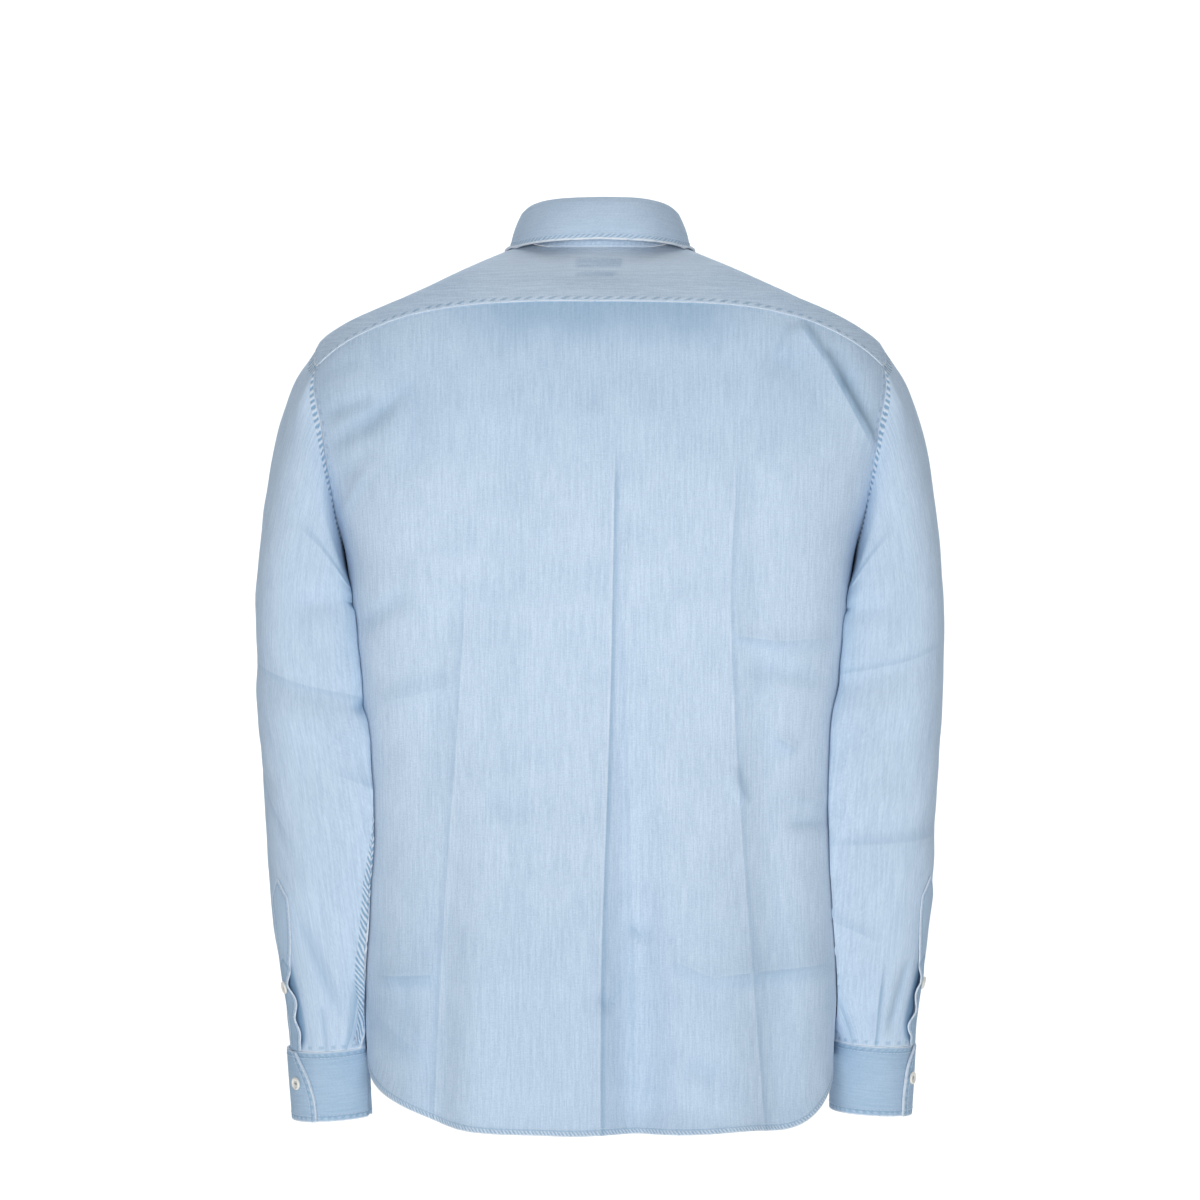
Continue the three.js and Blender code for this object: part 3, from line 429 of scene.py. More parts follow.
def torso_plain(angle, level):
    angle, level = np.broadcast_arrays(angle, level)
    p = ring_point(torso_ring(level), angle)
    for x, half, drop in HEM_DIPS:
        p[..., 2] -= np.where(p[..., 1] > 0, drop * smooth(1 - level / 2) * bell((p[..., 0] - x) / half), 0)
    return p


def normal_of(surface, angle, level):
    step = 0.01
    across = surface(angle + step, level) - surface(angle - step, level)
    low, high = np.maximum(0, level - step), np.minimum(NECK_LEVEL, level + step)
    return unit(np.cross(across, surface(angle, high) - surface(angle, low)))


# Folds, pleats and creases


def on_side(p, side):
    return (p[..., 1] > 0) == (side == "back")


def off_the_side_seams(p):
    return smooth((np.abs(p[..., 1]) - 30) / 50)


def fold_depth(p):
    total = np.zeros(p.shape[:-1])
    for side, tx, tz, fx, fz, depth, half in FOLDS:
        down = (tz - p[..., 2]) / (tz - fz)
        across = (p[..., 0] - mix(tx, fx, down)) / half
        total += np.where(on_side(p, side), depth * smooth(down) * bell(across), 0)
    return total * off_the_side_seams(p)


def profile(off, step):
    """A crease across its line: a ridge, or partly a step that is high on one side."""
    stepped = np.exp(-np.maximum(off, 0) * 0.45) * (off > 0) + np.exp(-(off * off) * 1.6) * (off <= 0)
    return mix(bell(off), stepped, step)


def line_share(x, y, x0, y0, x1, y1, half):
    """How far along a line from one end to the other, and how far off it in half-widths."""
    span = math.hypot(x1 - x0, y1 - y0)
    along = ((x - x0) * (x1 - x0) + (y - y0) * (y1 - y0)) / (span * span)
    off = ((x - x0) * (y1 - y0) - (y - y0) * (x1 - x0)) / span / half
    return along, off


def faded(along, reach, fade):
    """One along a line, and down to nothing a little past its ends."""
    return smooth((along + reach) / fade) * smooth((1 + reach - along) / fade)


def low_side(off, height):
    """Where the painted shade lies beside a crease, over cloth that is also less worn there."""
    return bell((off + 0.7) / 0.8) if height > 0 else bell(off / 1.1)


def falls(p):
    """For each long pleat: its slope, how far past its edge a point is, its width, how far down, its end."""
    down = -p[..., 2]
    for side, way, slope, edge in FALLS:
        z = [-row[0] for row in edge]
        x, wide = (curve(z, [row[k] for row in edge])(down) for k in (1, 2))
        end = np.where(on_side(p, side), smooth((z[-1] + 60 - down) / 60), 0)
        yield slope, way * (p[..., 0] - x), wide, down - z[0], end


def creases(p, reach, fade):
    """For each crease of the panels: its height, half-width and step, how far off it a point is, its ends."""
    for side, x0, z0, x1, z1, height, half, step in CREASES:
        along, off = line_share(p[..., 0], p[..., 2], x0, z0, x1, z1, half)
        yield height, half, step, off, np.where(on_side(p, side), faded(along, reach, fade), 0)


def pleats(p, shade=False):
    """Cloth that falls away from a pressed edge and comes back slowly, or the painted shade of the fall."""
    total = np.zeros(p.shape[:-1])
    for slope, past, wide, down, end in falls(p):
        t = past / wide
        ends = smooth(down / 60 + 0.3) * end
        if shade:
            total += slope * smooth(t / 0.06) * (1 - smooth((t - 0.85) / 0.5)) * ends
        else:
            fall = np.where(t < 0, 0, np.where(t < 0.8, t, 1 - 0.2 * np.exp(-(t - 0.8) / 0.2)))
            fall = fall * bell(np.maximum(t - 0.9, 0) / 2.4)
            total -= slope * wide * fall * ends
    return total * off_the_side_seams(p)


def crease_height(p):
    total = pleats(p)
    for height, _, step, off, ends in creases(p, 0.1, 0.3):
        total += CREASE_BOOST * height * ends * profile(off, step)
    return total


def nearest_line(best, off, power):
    """Keeps, for each point, the fold line whose painted shade and highlight mark it most: distance on the
    high side, and power.
    """
    nearer = power * bell(off / 7) > best[..., 1] * bell(best[..., 0] / 7)
    found = np.stack([off, power, np.zeros(off.shape)], -1)
    return np.where(nearer[..., None], found, best)


# Painted fold lines: for each point, the pleat edge or crease that marks it with a dark line of painted shade
# and a painted highlight.
def fold_lines(p):
    best = np.zeros(p.shape)
    for slope, past, _, down, end in falls(p):
        best = nearest_line(best, -past, (slope / STEEPEST_FALL) ** 4 * smooth(down / 50 + 0.4) * end)
    for height, half, step, off, ends in creases(p, 0.05, 0.3):
        best = nearest_line(best, off * half, min(1, abs(height) / 4.5) * step * ends)
    return best


def shadows(p):
    """Painted shade on the low side of each crease, where the cloth is also less worn."""
    total = np.zeros(p.shape[:-1])
    for height, _, _, off, ends in creases(p, 0.1, 0.35):
        total += 0.075 * abs(height) * ends * low_side(off, height)
    return np.minimum(total, 0.36)


def waves(p):
    total = np.zeros(p.shape[:-1])
    for kx, ky, kz, phase, height in WAVES:
        total += height * np.sin(p[..., 0] * kx + p[..., 1] * ky + p[..., 2] * kz + phase)
    return total


def torso_folded(angle, level):
    p = torso_plain(angle, level)
    return p + normal_of(torso_plain, angle, level) * fold_depth(p)[..., None]


def torso_fine(angle, level):
    angle, level = np.broadcast_arrays(np.asarray(angle, float), np.asarray(level, float))
    p = torso_folded(angle, level)
    calm = smooth((NECK_LEVEL - level) / 0.7) * smooth(level / 0.25)
    more = crease_height(p) * calm + waves(p) * smooth((NECK_LEVEL - level) / 0.7)
    return p + normal_of(torso_folded, angle, level) * more[..., None]


cloud_angle, cloud_level = np.meshgrid(np.radians(np.arange(0, 360, 1.5)), np.arange(0, 12.001, 0.0625))
cloud = torso_folded(cloud_angle, cloud_level).reshape(-1, 3)
cloud_normal = normal_of(torso_folded, cloud_angle, cloud_level).reshape(-1, 3)
tree = kdtree.KDTree(len(cloud))
for index, place in enumerate(cloud):
    tree.insert(place, index)
tree.balance()


def kept_clear(points, clearance):
    """Points moved out to a clearance from the torso."""
    flat = points.reshape(-1, 3).copy()
    gap = np.broadcast_to(clearance, points.shape[:-1]).reshape(-1)
    for i, p in enumerate(flat):
        _, near, _ = tree.find(p)
        n = cloud_normal[near]
        height = float(np.dot(p - cloud[near], n))
        if height < gap[i]:
            flat[i] = p + n * (gap[i] - height)
    return flat.reshape(points.shape)


# Meshes


def in_scene(name, vertices, faces, material):
    """A smooth mesh in the scene, from vertices in metres."""
    mesh = bpy.data.meshes.new(name)
    mesh.from_pydata(vertices, [], faces)
    mesh.validate()
    mesh.polygons.foreach_set("use_smooth", np.ones(len(mesh.polygons), bool))
    mesh.materials.append(material)
    obj = bpy.data.objects.new(name, mesh)
    bpy.context.scene.collection.objects.link(obj)
    return obj


def tube_faces(start, rings, sides, capped=True):
    """Faces of a tube whose vertices come ring by ring, and its two ends."""
    faces = []
    for ring in range(rings - 1):
        for k in range(sides):
            a, b = start + ring * sides + k, start + ring * sides + (k + 1) % sides
            faces.append((a, b, b + sides, a + sides))
    if capped:
        faces.append(tuple(reversed(range(start, start + sides))))
        faces.append(tuple(range(start + (rings - 1) * sides, start + rings * sides)))
    return faces


def grid_normals(points, ring=False):
    after = np.roll(points, -1, axis=1)
    before = np.roll(points, 1, axis=1)
    if ring:
        after[:, -1], before[:, 0] = points[:, 1], points[:, -2]
    else:
        after[:, -1], before[:, 0] = points[:, -1], points[:, 0]
    above = np.concatenate([points[1:], points[-1:]])
    below = np.concatenate([points[:1], points[:-1]])
    n = unit(np.cross(after - before, above - below))
    outward = (n[-1] * (points[-1] - points[-1].mean(axis=0))).sum()
    return n if outward > 0 else -n


def arc(points, axis):
    """Distance along a grid's rows (axis 1) or columns (axis 0), in millimetres."""
    steps = np.linalg.norm(np.diff(points, axis=axis), axis=-1)
    pad = [(0, 0), (0, 0)]
    pad[axis] = (1, 0)
    return np.pad(np.cumsum(steps, axis=axis), pad)


def wall(name, outer, normals, thickness, material, seam, closed_rows=0, tone=None, uv=None, fold=None):
    """A closed wall of cloth from its outer face, a grid of points in millimetres."""
    rows, columns = outer.shape[:2]
    count = rows * columns
    place = np.arange(count).reshape(rows, columns)
    place[:closed_rows, -1] = place[:closed_rows, 0]
    quads = np.stack([place[:-1, :-1], place[:-1, 1:], place[1:, 1:], place[1:, :-1]], -1).reshape(-1, 4)
    edges = dict.fromkeys(zip(quads.reshape(-1).tolist(), np.roll(quads, -1, axis=1).reshape(-1).tolist()))
    rim = [(b, a, a + count, b + count) for a, b in edges if (b, a) not in edges]
    sample = rows // 2 * columns + columns // 2
    p = outer.reshape(-1, 3)
    face = np.cross(p[sample + 1] - p[sample], p[sample + columns] - p[sample])
    if np.dot(face, normals.reshape(-1, 3)[sample]) < 0:
        quads = quads[:, ::-1]
        rim = [r[::-1] for r in rim]
    faces = np.concatenate([quads, quads[:, ::-1] + count, np.array(rim, int)])
    points = np.concatenate([p, (outer - normals * thickness).reshape(-1, 3)]) * MM
    obj = in_scene(name, points.tolist(), faces.tolist(), material)
    mesh = obj.data
    if uv is None:
        uv = np.stack([arc(outer, 1), arc(outer, 0)], -1)
    loops = np.empty(len(mesh.loops), int)
    mesh.loops.foreach_get("vertex_index", loops)
    loop_uv = (np.concatenate([uv.reshape(-1, 2)] * 2) * MM)[loops]
    mesh.uv_layers.new(name="cloth").data.foreach_set("uv", loop_uv.astype(np.float32).reshape(-1))
    for key, kind, part, values in (
        ("seam", "FLOAT_VECTOR", "vector", seam),
        ("tone", "FLOAT", "value", np.zeros(outer.shape[:-1]) if tone is None else tone),
        ("fold", "FLOAT_VECTOR", "vector", np.zeros(outer.shape) if fold is None else fold),
    ):
        doubled = np.concatenate([values.reshape(-1)] * 2).astype(np.float32)
        mesh.attributes.new(key, kind, "POINT").data.foreach_set(part, doubled)
    # The rim meets both faces at an edge, so the shading breaks there.
    rim_edges = {frozenset(pair) for r in rim for pair in zip(r, r[-1:] + r[:-1])}
    ends = np.empty(len(mesh.edges) * 2, int)
    mesh.edges.foreach_get("vertices", ends)
    pairs = ends.reshape(-1, 2).tolist()
    sharp = [(a < count) == (b < count) and frozenset((a, b)) in rim_edges for a, b in pairs]
    mesh.attributes.new("sharp_edge", "BOOLEAN", "EDGE").data.foreach_set("value", sharp)
    return obj


def from_borders(points):
    """For each border of a grid: each point's place along it and distance from it."""
    along, down = arc(points, 1), arc(points, 0)
    return {
        "first_row": (along, down),
        "last_row": (along + 37, down[-1:] - down),
        "first_column": (down + 71, along),
        "last_column": (down + 113, along[:, -1:] - along),
    }


def seam_field(points, edges):
    """For each vertex: place along the nearest seam, distance from it and its strength.
    edges names the borders that carry a seam, such as first_row, with a strength."""
    best = np.full(points.shape[:-1], FAR_FROM_SEAM)
    where, strength = np.zeros((2, *best.shape))
    fields = from_borders(points)
    for name, power in edges.items():
        place, off = fields[name]
        power = np.broadcast_to(power, best.shape)
        nearer = (off < best) & (power > 0)
        best = np.where(nearer, off, best)
        where = np.where(nearer, place, where)
        strength = np.where(nearer, power, strength)
    return np.stack([where, best, strength], -1)


# Materials


class Shading:
    """A new material, and short ways to add nodes to it."""

    def __init__(self, name, color):
        self.material = bpy.data.materials.new(name)
        self.material.use_nodes = True
        self.material.diffuse_color = (*color, 1)
        self.nodes, self.links = self.material.node_tree.nodes, self.material.node_tree.links
        self.shader = self.nodes["Principled BSDF"].inputs

    def feed(self, socket, value):
        """Links a node's output to a socket, or sets the socket to a number or a colour."""
        if isinstance(value, bpy.types.NodeSocket):
            self.links.new(value, socket)
        elif isinstance(value, tuple):
            socket.default_value = (*value, 1)
        else:
            socket.default_value = value

    def node(self, kind, inputs, data_type=None):
        made = self.nodes.new("ShaderNode" + kind)
        if data_type:
            made.data_type = data_type
        for key, value in inputs.items():
            self.feed(made.inputs[key], value)
        return made

    def math(self, operation, *values, clamp=False):
        made = self.node("Math", dict(enumerate(values)))
        made.operation = operation
        made.use_clamp = clamp
        return made.outputs[0]

    def times(self, *factors):
        product = factors[0]
        for factor in factors[1:]:
            product = self.math("MULTIPLY", product, factor)
        return product

    def ramp(self, value, low, high):
        made = self.node("MapRange", {"Value": value, "From Min": low, "From Max": high})
        made.interpolation_type = "SMOOTHSTEP"
        return made.outputs["Result"]

    def band(self, value, start, full, end, gone):
        """One between two values, softly."""
        return self.times(self.ramp(value, start, full), self.ramp(value, gone, end))

    def noise(self, vector, scale, detail=2.0, rough=0.5):
        inputs = {"Vector": vector, "Scale": scale, "Detail": detail, "Roughness": rough}
        return self.node("TexNoise", inputs).outputs["Fac"]

    def stripes(self, vector, scale, distortion, direction="X"):
        inputs = {"Vector": vector, "Scale": scale, "Distortion": distortion, "Detail": 2.0}
        made = self.node("TexWave", inputs)
        made.bands_direction = direction
        return made.outputs["Fac"]

    def stretched(self, vector, x, y, turn=0.0):
        made = self.node("Mapping", {"Vector": vector})
        made.inputs["Scale"].default_value = (x, y, 1)
        made.inputs["Rotation"].default_value = (0, 0, turn)
        return made.outputs["Vector"]

    def mix(self, factor, a, b):
        return self.node("Mix", {"Factor": factor, "A": a, "B": b}).outputs["Result"]

    def mix_color(self, factor, a, b):
        return self.node("Mix", {"Factor": factor, "A": a, "B": b}, "RGBA").outputs["Result"]

    def attribute(self, name):
        made = self.nodes.new("ShaderNodeAttribute")
        made.attribute_name = name
        return made.outputs

    def parts(self, name):
        return self.node("SeparateXYZ", {0: self.attribute(name)["Vector"]}).outputs


# sRGB readings of the cloth, as linear colours
LIGHT_BLUE = (0.63, 0.757, 0.905)
MID_BLUE = (0.40, 0.53, 0.685)
# The deep blue also serves for painted shade in creases, folds and hollows.
DEEP_BLUE = (0.15, 0.315, 0.49)
# The worn white also serves for painted highlights on the high side of folds.
WORN_WHITE_AND_HIGHLIGHT = (0.83, 0.875, 0.93)
# The pale blue is mostly painted light.
PALE_BLUE = (0.74, 0.85, 0.96)


def make_cloth(name, streaks=1.0, depth=0.0, across=False, ticks=0.033, line=0.0, wear=0.9):
    """Pale chambray: slubbed warp streaks, a fine plain weave, and seams worn white and puckered blue.
    across turns the warp on its side, as the yoke, collar and cuffs are cut. ticks is how close the
    puckers of a flat seam stand, and line how clearly its stitching draws a dark line."""
    s = Shading(name, MID_BLUE)
    ramp, band, times, noise, stretched = s.ramp, s.band, s.times, s.noise, s.stretched
    uv = s.nodes.new("ShaderNodeUVMap")
    uv.uv_map = "cloth"
    flat = uv.outputs["UV"]
    if across:
        flat = stretched(flat, 1, 1, math.pi / 2)
    slub = noise(stretched(flat, 620, 26), 1.0, 3.0, 0.65)
    fine = noise(stretched(flat, 1500, 130), 1.0, 2.0, 0.5)
    weft = noise(stretched(flat, 130, 1500), 1.0, 1.0, 0.5)
    speckle = noise(flat, 700, 2.0, 0.6)
    cloudy = noise(flat, 26, 4.0, 0.6)
    light = 0.0
    for grain, low, high, amount in (
        (slub, 0.34, 0.66, 0.36 * streaks),
        (fine, 0.3, 0.7, 0.22 * streaks),
        (weft, 0.3, 0.7, 0.16),
        (speckle, 0.3, 0.7, 0.30),
        (cloudy, 0.25, 0.75, 0.18),
    ):
        light = s.math("MULTIPLY_ADD", ramp(grain, low, high), amount, light)
    color = s.mix_color(s.math("MINIMUM", light, 1.0), MID_BLUE, LIGHT_BLUE)
    color = s.mix_color(depth, color, DEEP_BLUE)

    along, off, power = s.parts("seam")
    # Powers up to 1 are flat seams, about 1.4 felled seams whose cloth twists into close puckers,
    # and 1.8 a roped hem.
    felled, roped = ramp(power, 1.0, 1.2), ramp(power, 1.6, 1.7)
    strength = s.math("MINIMUM", power, 1.0)
    place = s.node("CombineXYZ", {0: along, 1: off}).outputs[0]
    soft = s.stripes(place, ticks, 3.5)
    close = s.stripes(stretched(place, 1.0, 0.75), 0.115, 3.0, "DIAGONAL")
    twill = s.stripes(stretched(place, 1.0, 0.9), 0.2, 1.6, "DIAGONAL")
    soft_band = band(off, 1.5, 2.6, 4.2, 5.4)
    close_band = band(off, 0.9, 1.8, 8.6, 10.4)
    rope_band = band(off, 0.2, 0.9, 3.6, 4.6)
    soft_dark = times(ramp(soft, 0.45, 0.85), soft_band, 0.44)
    if line:
        drawn = times(band(off, 3.6, 4.2, 4.7, 5.3), line)
        soft_dark = s.math("MAXIMUM", times(soft_dark, 1 - 0.6 * line), drawn)
    close_dark = times(ramp(close, 0.40, 0.85), close_band, 0.72)
    rope_line = times(band(off, 3.9, 4.5, 4.9, 5.6), 0.34)
    rope_dark = s.math("ADD", times(ramp(twill, 0.45, 0.75), rope_band, 0.42), rope_line)
    dark = times(s.mix(roped, s.mix(felled, soft_dark, close_dark), rope_dark), strength)
    color = s.mix_color(dark, color, DEEP_BLUE)
    soft_pale = times(ramp(soft, 0.4, 0.1), soft_band, 0.12)
    close_pale = times(ramp(close, 0.35, 0.10), close_band, 0.5)
    rope_pale = times(ramp(twill, 0.4, 0.2), rope_band, 0.35)
    pale = times(s.mix(roped, s.mix(felled, soft_pale, close_pale), rope_pale), strength)
    color = s.mix_color(pale, color, WORN_WHITE_AND_HIGHLIGHT)
    broken = noise(stretched(place, 0.16, 0.3), 1.0, 3.0, 0.65)
    edge = times(ramp(off, wear + 0.4, wear - 0.3), strength, ramp(broken, 0.30, 0.5))
    color = s.mix_color(times(edge, 0.8), color, WORN_WHITE_AND_HIGHLIGHT)

    # The fold attribute paints a dark line of shade on the low side of each pleat edge and crease, and a
    # highlight on its high side.
    beside, marked, _ = s.parts("fold")
    color = s.mix_color(times(band(beside, -5.0, -0.2, 0.1, 1.0), marked, 0.4), color, DEEP_BLUE)
    color = s.mix_color(times(band(beside, 0.3, 1.1, 1.3, 4.0), marked, 0.2), color, WORN_WHITE_AND_HIGHLIGHT)
    # The tone attribute is mostly painted shade, mixed towards the deep blue, and painted light, mixed
    # towards the pale blue; a few marks in it, such as the label's show-through, are real.
    tone = s.attribute("tone")["Fac"]
    color = s.mix_color(s.math("MULTIPLY", tone, -1.0, clamp=True), color, DEEP_BLUE)
    color = s.mix_color(s.math("MAXIMUM", tone, 0.0, clamp=True), color, PALE_BLUE)

    height = s.math("MULTIPLY_ADD", fine, 0.4, times(weft, 0.4))
    height = s.math("MULTIPLY_ADD", speckle, 0.5, height)
    weave = s.node("Bump", {"Strength": 0.35, "Distance": 0.0004, "Height": height}).outputs[0]
    relief = s.math("SUBTRACT", pale, dark)
    pucker = {"Strength": 0.5, "Distance": 0.0014, "Height": relief, "Normal": weave}
    s.feed(s.shader["Normal"], s.node("Bump", pucker).outputs[0])
    s.feed(s.shader["Base Color"], color)
    s.feed(s.shader["Roughness"], 0.95)
    s.feed(s.shader["Specular IOR Level"], 0.12)
    return s.material


cloth = make_cloth("cloth")
yoke_cloth = make_cloth("cloth_yoke", streaks=1.1, across=True, wear=0.6)
collar_cloth = make_cloth("cloth_collar", streaks=0.5, depth=0.03, across=True, ticks=0.062, wear=1.5)
cuff_cloth = make_cloth("cloth_cuff", streaks=0.9, depth=0.32, across=True, ticks=0.05, line=0.42, wear=1.0)
placket_cloth = make_cloth("cloth_placket", streaks=0.8, depth=0.22, ticks=0.07, line=0.5)

thread = Shading("thread", MID_BLUE)
grain = thread.noise(thread.nodes.new("ShaderNodeTexCoord").outputs["Object"], 900)
thread.feed(thread.shader["Base Color"], thread.mix_color(grain, (0.44, 0.57, 0.72), (0.66, 0.76, 0.88)))
thread.feed(thread.shader["Roughness"], 0.75)

shell = Shading("button", (0.80, 0.79, 0.74))
grain = shell.stretched(shell.nodes.new("ShaderNodeTexCoord").outputs["Object"], 240, 90)
grain = shell.ramp(shell.noise(grain, 1.0, 3.0), 0.3, 0.7)
shell.feed(shell.shader["Base Color"], shell.mix_color(grain, (0.74, 0.72, 0.66), (0.86, 0.86, 0.82)))
shell.feed(shell.shader["Roughness"], 0.28)
shell.feed(shell.shader["Coat Weight"], 0.2)

# Stitches: each run is one mesh of short capsules laid on the cloth


def stitches(name, runs, length=2.5, gap=0.7, sink=0.05):
    """runs are (points, normals) along a seam, in millimetres."""
    spin = np.arange(STITCH_SIDES) * 2 * np.pi / STITCH_SIDES
    turned = [f(spin)[None, :, None] for f in (np.cos, np.sin)]
    blocks = []
    for points, normals in runs:
        travelled = np.concatenate([[0], np.cumsum(np.linalg.norm(np.diff(points, axis=0), axis=1))])
        if travelled[-1] < length * 2:
            continue
        starts = np.arange(gap, travelled[-1] - length, length + gap)

        def at(values, s):
            return np.stack([np.interp(s, travelled, values[:, k]) for k in range(3)], -1)

        n = unit(at(normals, starts + length / 2))
        a, b = at(points, starts), at(points, starts + length)
        along = unit(b - a)
        side = unit(np.cross(along, n))
        up = np.cross(side, along)
        rings = []
        for share, wide, dip in STITCH_RINGS:
            middle = a + (b - a) * share + n * (STITCH_RADIUS - sink) + n * dip
            spoke = turned[0] * side[:, None] * 1.15 + turned[1] * up[:, None] * 0.8
            rings.append(middle[:, None] + STITCH_RADIUS * wide * spoke)
        blocks.append(np.stack(rings, 1).reshape(-1, 3))
    vertices = np.concatenate(blocks) * MM
    each = STITCH_SIDES * len(STITCH_RINGS)
    starts = range(0, len(vertices), each)
    faces = [face for start in starts for face in tube_faces(start, len(STITCH_RINGS), STITCH_SIDES)]
    return in_scene(name, vertices.tolist(), faces, thread.material)


def inset_run(points, normals, border, inset):
    """The run of a stitch line at a distance in from a border of a grid."""
    lines = [from_borders(points)[border][1], points, normals]
    if border.endswith("row"):
        lines = [np.swapaxes(v, 0, 1) for v in lines]
    run = []
    for off, *line in zip(*lines):
        order = np.argsort(off)
        run.append([[np.interp(inset, off[order], v[order, k]) for k in range(3)] for v in line])
    run = np.array(run)
    return run[:, 0], unit(run[:, 1])


def inset_runs(points, normals, inset, *borders):
    return [inset_run(points, normals, border, inset) for border in borders]


def part_of(run, where):
    return tuple(values[where] for values in run)


def ride_as(piece):
    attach(piece, "root")


def finish_piece(obj, node, sewn):
    ride_as(obj)
    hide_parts(node)
    ride_as(sewn)


# Torso panels

back_station = table(ARMHOLE_BACK, ARM_COLUMNS)
yoke_station = table(ARMHOLE_YOKE, ARM_COLUMNS)
front_station = table(ARMHOLE_FRONT, ARM_COLUMNS)


def torso_grid(angles, levels):
    p = torso_fine(np.radians(angles), levels)
    return p, normal_of(torso_fine, np.radians(angles), levels)


def hanging_uv(angles, levels, centre):
    """The cut's own coordinates: level distance from the centre line, and height."""
    p = torso_plain(np.radians(angles), levels)
    u = arc(p * np.array([1, 1, 0]), 1)
    return np.stack([u - u[:, centre][:, None], p[..., 2]], -1)


def raised(points, normals, field, mask=1.0):
    """Cloth stands up a little over its felled seams."""
    near = 1 - smooth((field[..., 1] - 2) / (SEAM_WIDTH - 1))
    lift = SEAM_LIFT * near * np.minimum(field[..., 2], 1.2) * mask
    return points + normals * lift[..., None]


def within(off, edge, fade):
    """One nearer than an edge, and down to nothing towards it."""
    return smooth((edge - np.abs(off)) / fade)


# Back
side_levels = np.linspace(0, UNDERARM_LEVEL, SIDE_ROWS)[:-1]
arm = back_station(np.linspace(0, 1, ARM_ROWS))
edge_angle = np.concatenate([np.zeros(len(side_levels)), arm["angle"]])
edge_level = np.concatenate([side_levels, arm["level"]])
across = np.linspace(0, 1, BACK_COLUMNS)
angles = mix(edge_angle[:, None], 180 - edge_angle[:, None], across[None])
levels = np.broadcast_to(edge_level[:, None], angles.shape)
back_points, back_normals = torso_grid(angles, levels)
arm_rows = np.where(edge_level > UNDERARM_LEVEL, 0.6, 0.35)[:, None]
edges = {"first_row": ROPED, "last_row": 0.2, "first_column": arm_rows, "last_column": arm_rows}
field = seam_field(back_points, edges)
points = raised(back_points, back_normals, field, 0.6)
x, z = points[..., 0], points[..., 2]
below = BACK_TOP - z
# Painted shade in a band just under the yoke seam, and the back a little darker towards its top and towards
# the hem.
shade = -0.33 * smooth((50 - below + 9 * waves(points * 1.5)) / 44) * within(x, 152, 84)
shade = shade - 0.13 * smooth((190 - below) / 150)
along = arc(points, 1)
# Painted light along the side seams below the arms, lifting the shade between sleeve and body; then painted
# shade beside the pleats and creases.
side_painted_light = 0.4 * smooth((62 - np.minimum(along, along[:, -1:] - along)) / 34) * (levels < UNDERARM_LEVEL)
shade = np.where(points[..., 1] > 0, shade, 0) - 0.2 * pleats(points, True) - shadows(points) + side_painted_light
shade = shade - 0.09 * smooth((-500 - z) / 130)
back = wall(
    "back_panel", points, back_normals, CLOTH, cloth, field, tone=shade,
    uv=hanging_uv(angles, levels, BACK_COLUMNS // 2), fold=fold_lines(points),
)
sewn = stitches("back_hem_stitches", inset_runs(points, back_normals, HEM_INSET, "first_row"))
finish_piece(back, "back", sewn)

# Yoke
arm = yoke_station(np.linspace(0, 1, YOKE_ARM_COLUMNS))
half = np.linspace(0, 1, YOKE_BACK_COLUMNS)[1:-1]
outer_angle = np.concatenate([arm["angle"][::-1], mix(26, 154, half), 180 - arm["angle"]])
outer_level = np.concatenate([arm["level"][::-1], np.full(len(half), float(YOKE_LEVEL)), arm["level"]])
on_back = np.pad(np.ones(len(half)), YOKE_ARM_COLUMNS)
# The yoke's back edge passes over the back panel by a millimetre or two.
start_level = outer_level - 0.035 * on_back
levels = mix(start_level[None], NECK_LEVEL, np.linspace(0, 1, YOKE_ROWS)[:, None])
angles = np.broadcast_to(outer_angle[None], levels.shape)
points, normals = torso_grid(angles, levels)
back_edge = np.where(on_back > 0, 1.0, 0.6)[None]
field = seam_field(points, {"first_row": back_edge, "first_column": 0.9, "last_column": 0.9, "last_row": 0.5})
points = raised(points, normals, field) + normals * 0.25
x, z = points[..., 0], points[..., 2]


def patch(middle_x, half_x, middle_z, half_z, soft=3):
    inside_x = smooth((half_x - np.abs(x - middle_x)) / soft + 0.5)
    return inside_x * smooth((half_z - np.abs(z - middle_z)) / soft + 0.5)


label = patch(1, 19.5, -24, 4.2) + 0.8 * patch(4, 17, -34, 2.6, 2)
around_label = patch(0, 25, -27, 12)
# A soft band of painted shade across the yoke's back, painted light on its upper part under the collar,
# slightly lighter at the front, and painted light in its middle fading to painted shade towards its ends; the
# label's show-through and the worn cloth round it are real marks.
soft = bell((z + 37) / 9) * within(x, 150, 80)
upper = smooth((z + 44) / 22) * within(x, 130, 60)
shade = np.where(points[..., 1] > 20, 0.30 * upper + 0.12 * around_label - 0.62 * label - 0.03 * soft, 0.06)
shade += mix(-0.06, 0.12, within(x, 125, 60))
yoke = wall(
    "yoke_panel", points, normals, CLOTH, yoke_cloth, field, tone=shade,
    uv=hanging_uv(angles, levels, len(outer_angle) // 2),
)
(back_run,) = inset_runs(points, normals, 1.6, "first_row")
(arm_run,) = inset_runs(points, normals, ARMHOLE_INSET, "first_row")
runs = [part_of(back_run, slice(YOKE_ARM_COLUMNS, -YOKE_ARM_COLUMNS))]
runs += inset_runs(points, normals, 2.0, "first_column", "last_column")
runs += [part_of(arm_run, slice(YOKE_ARM_COLUMNS)), part_of(arm_run, slice(-YOKE_ARM_COLUMNS, None))]
sewn = stitches("yoke_stitches", runs)
finish_piece(yoke, "yoke", sewn)

# Fronts


def lap_angle(level):
    return np.degrees(np.arcsin(FRONT_LAP / torso_ring(level)["half_width"]))


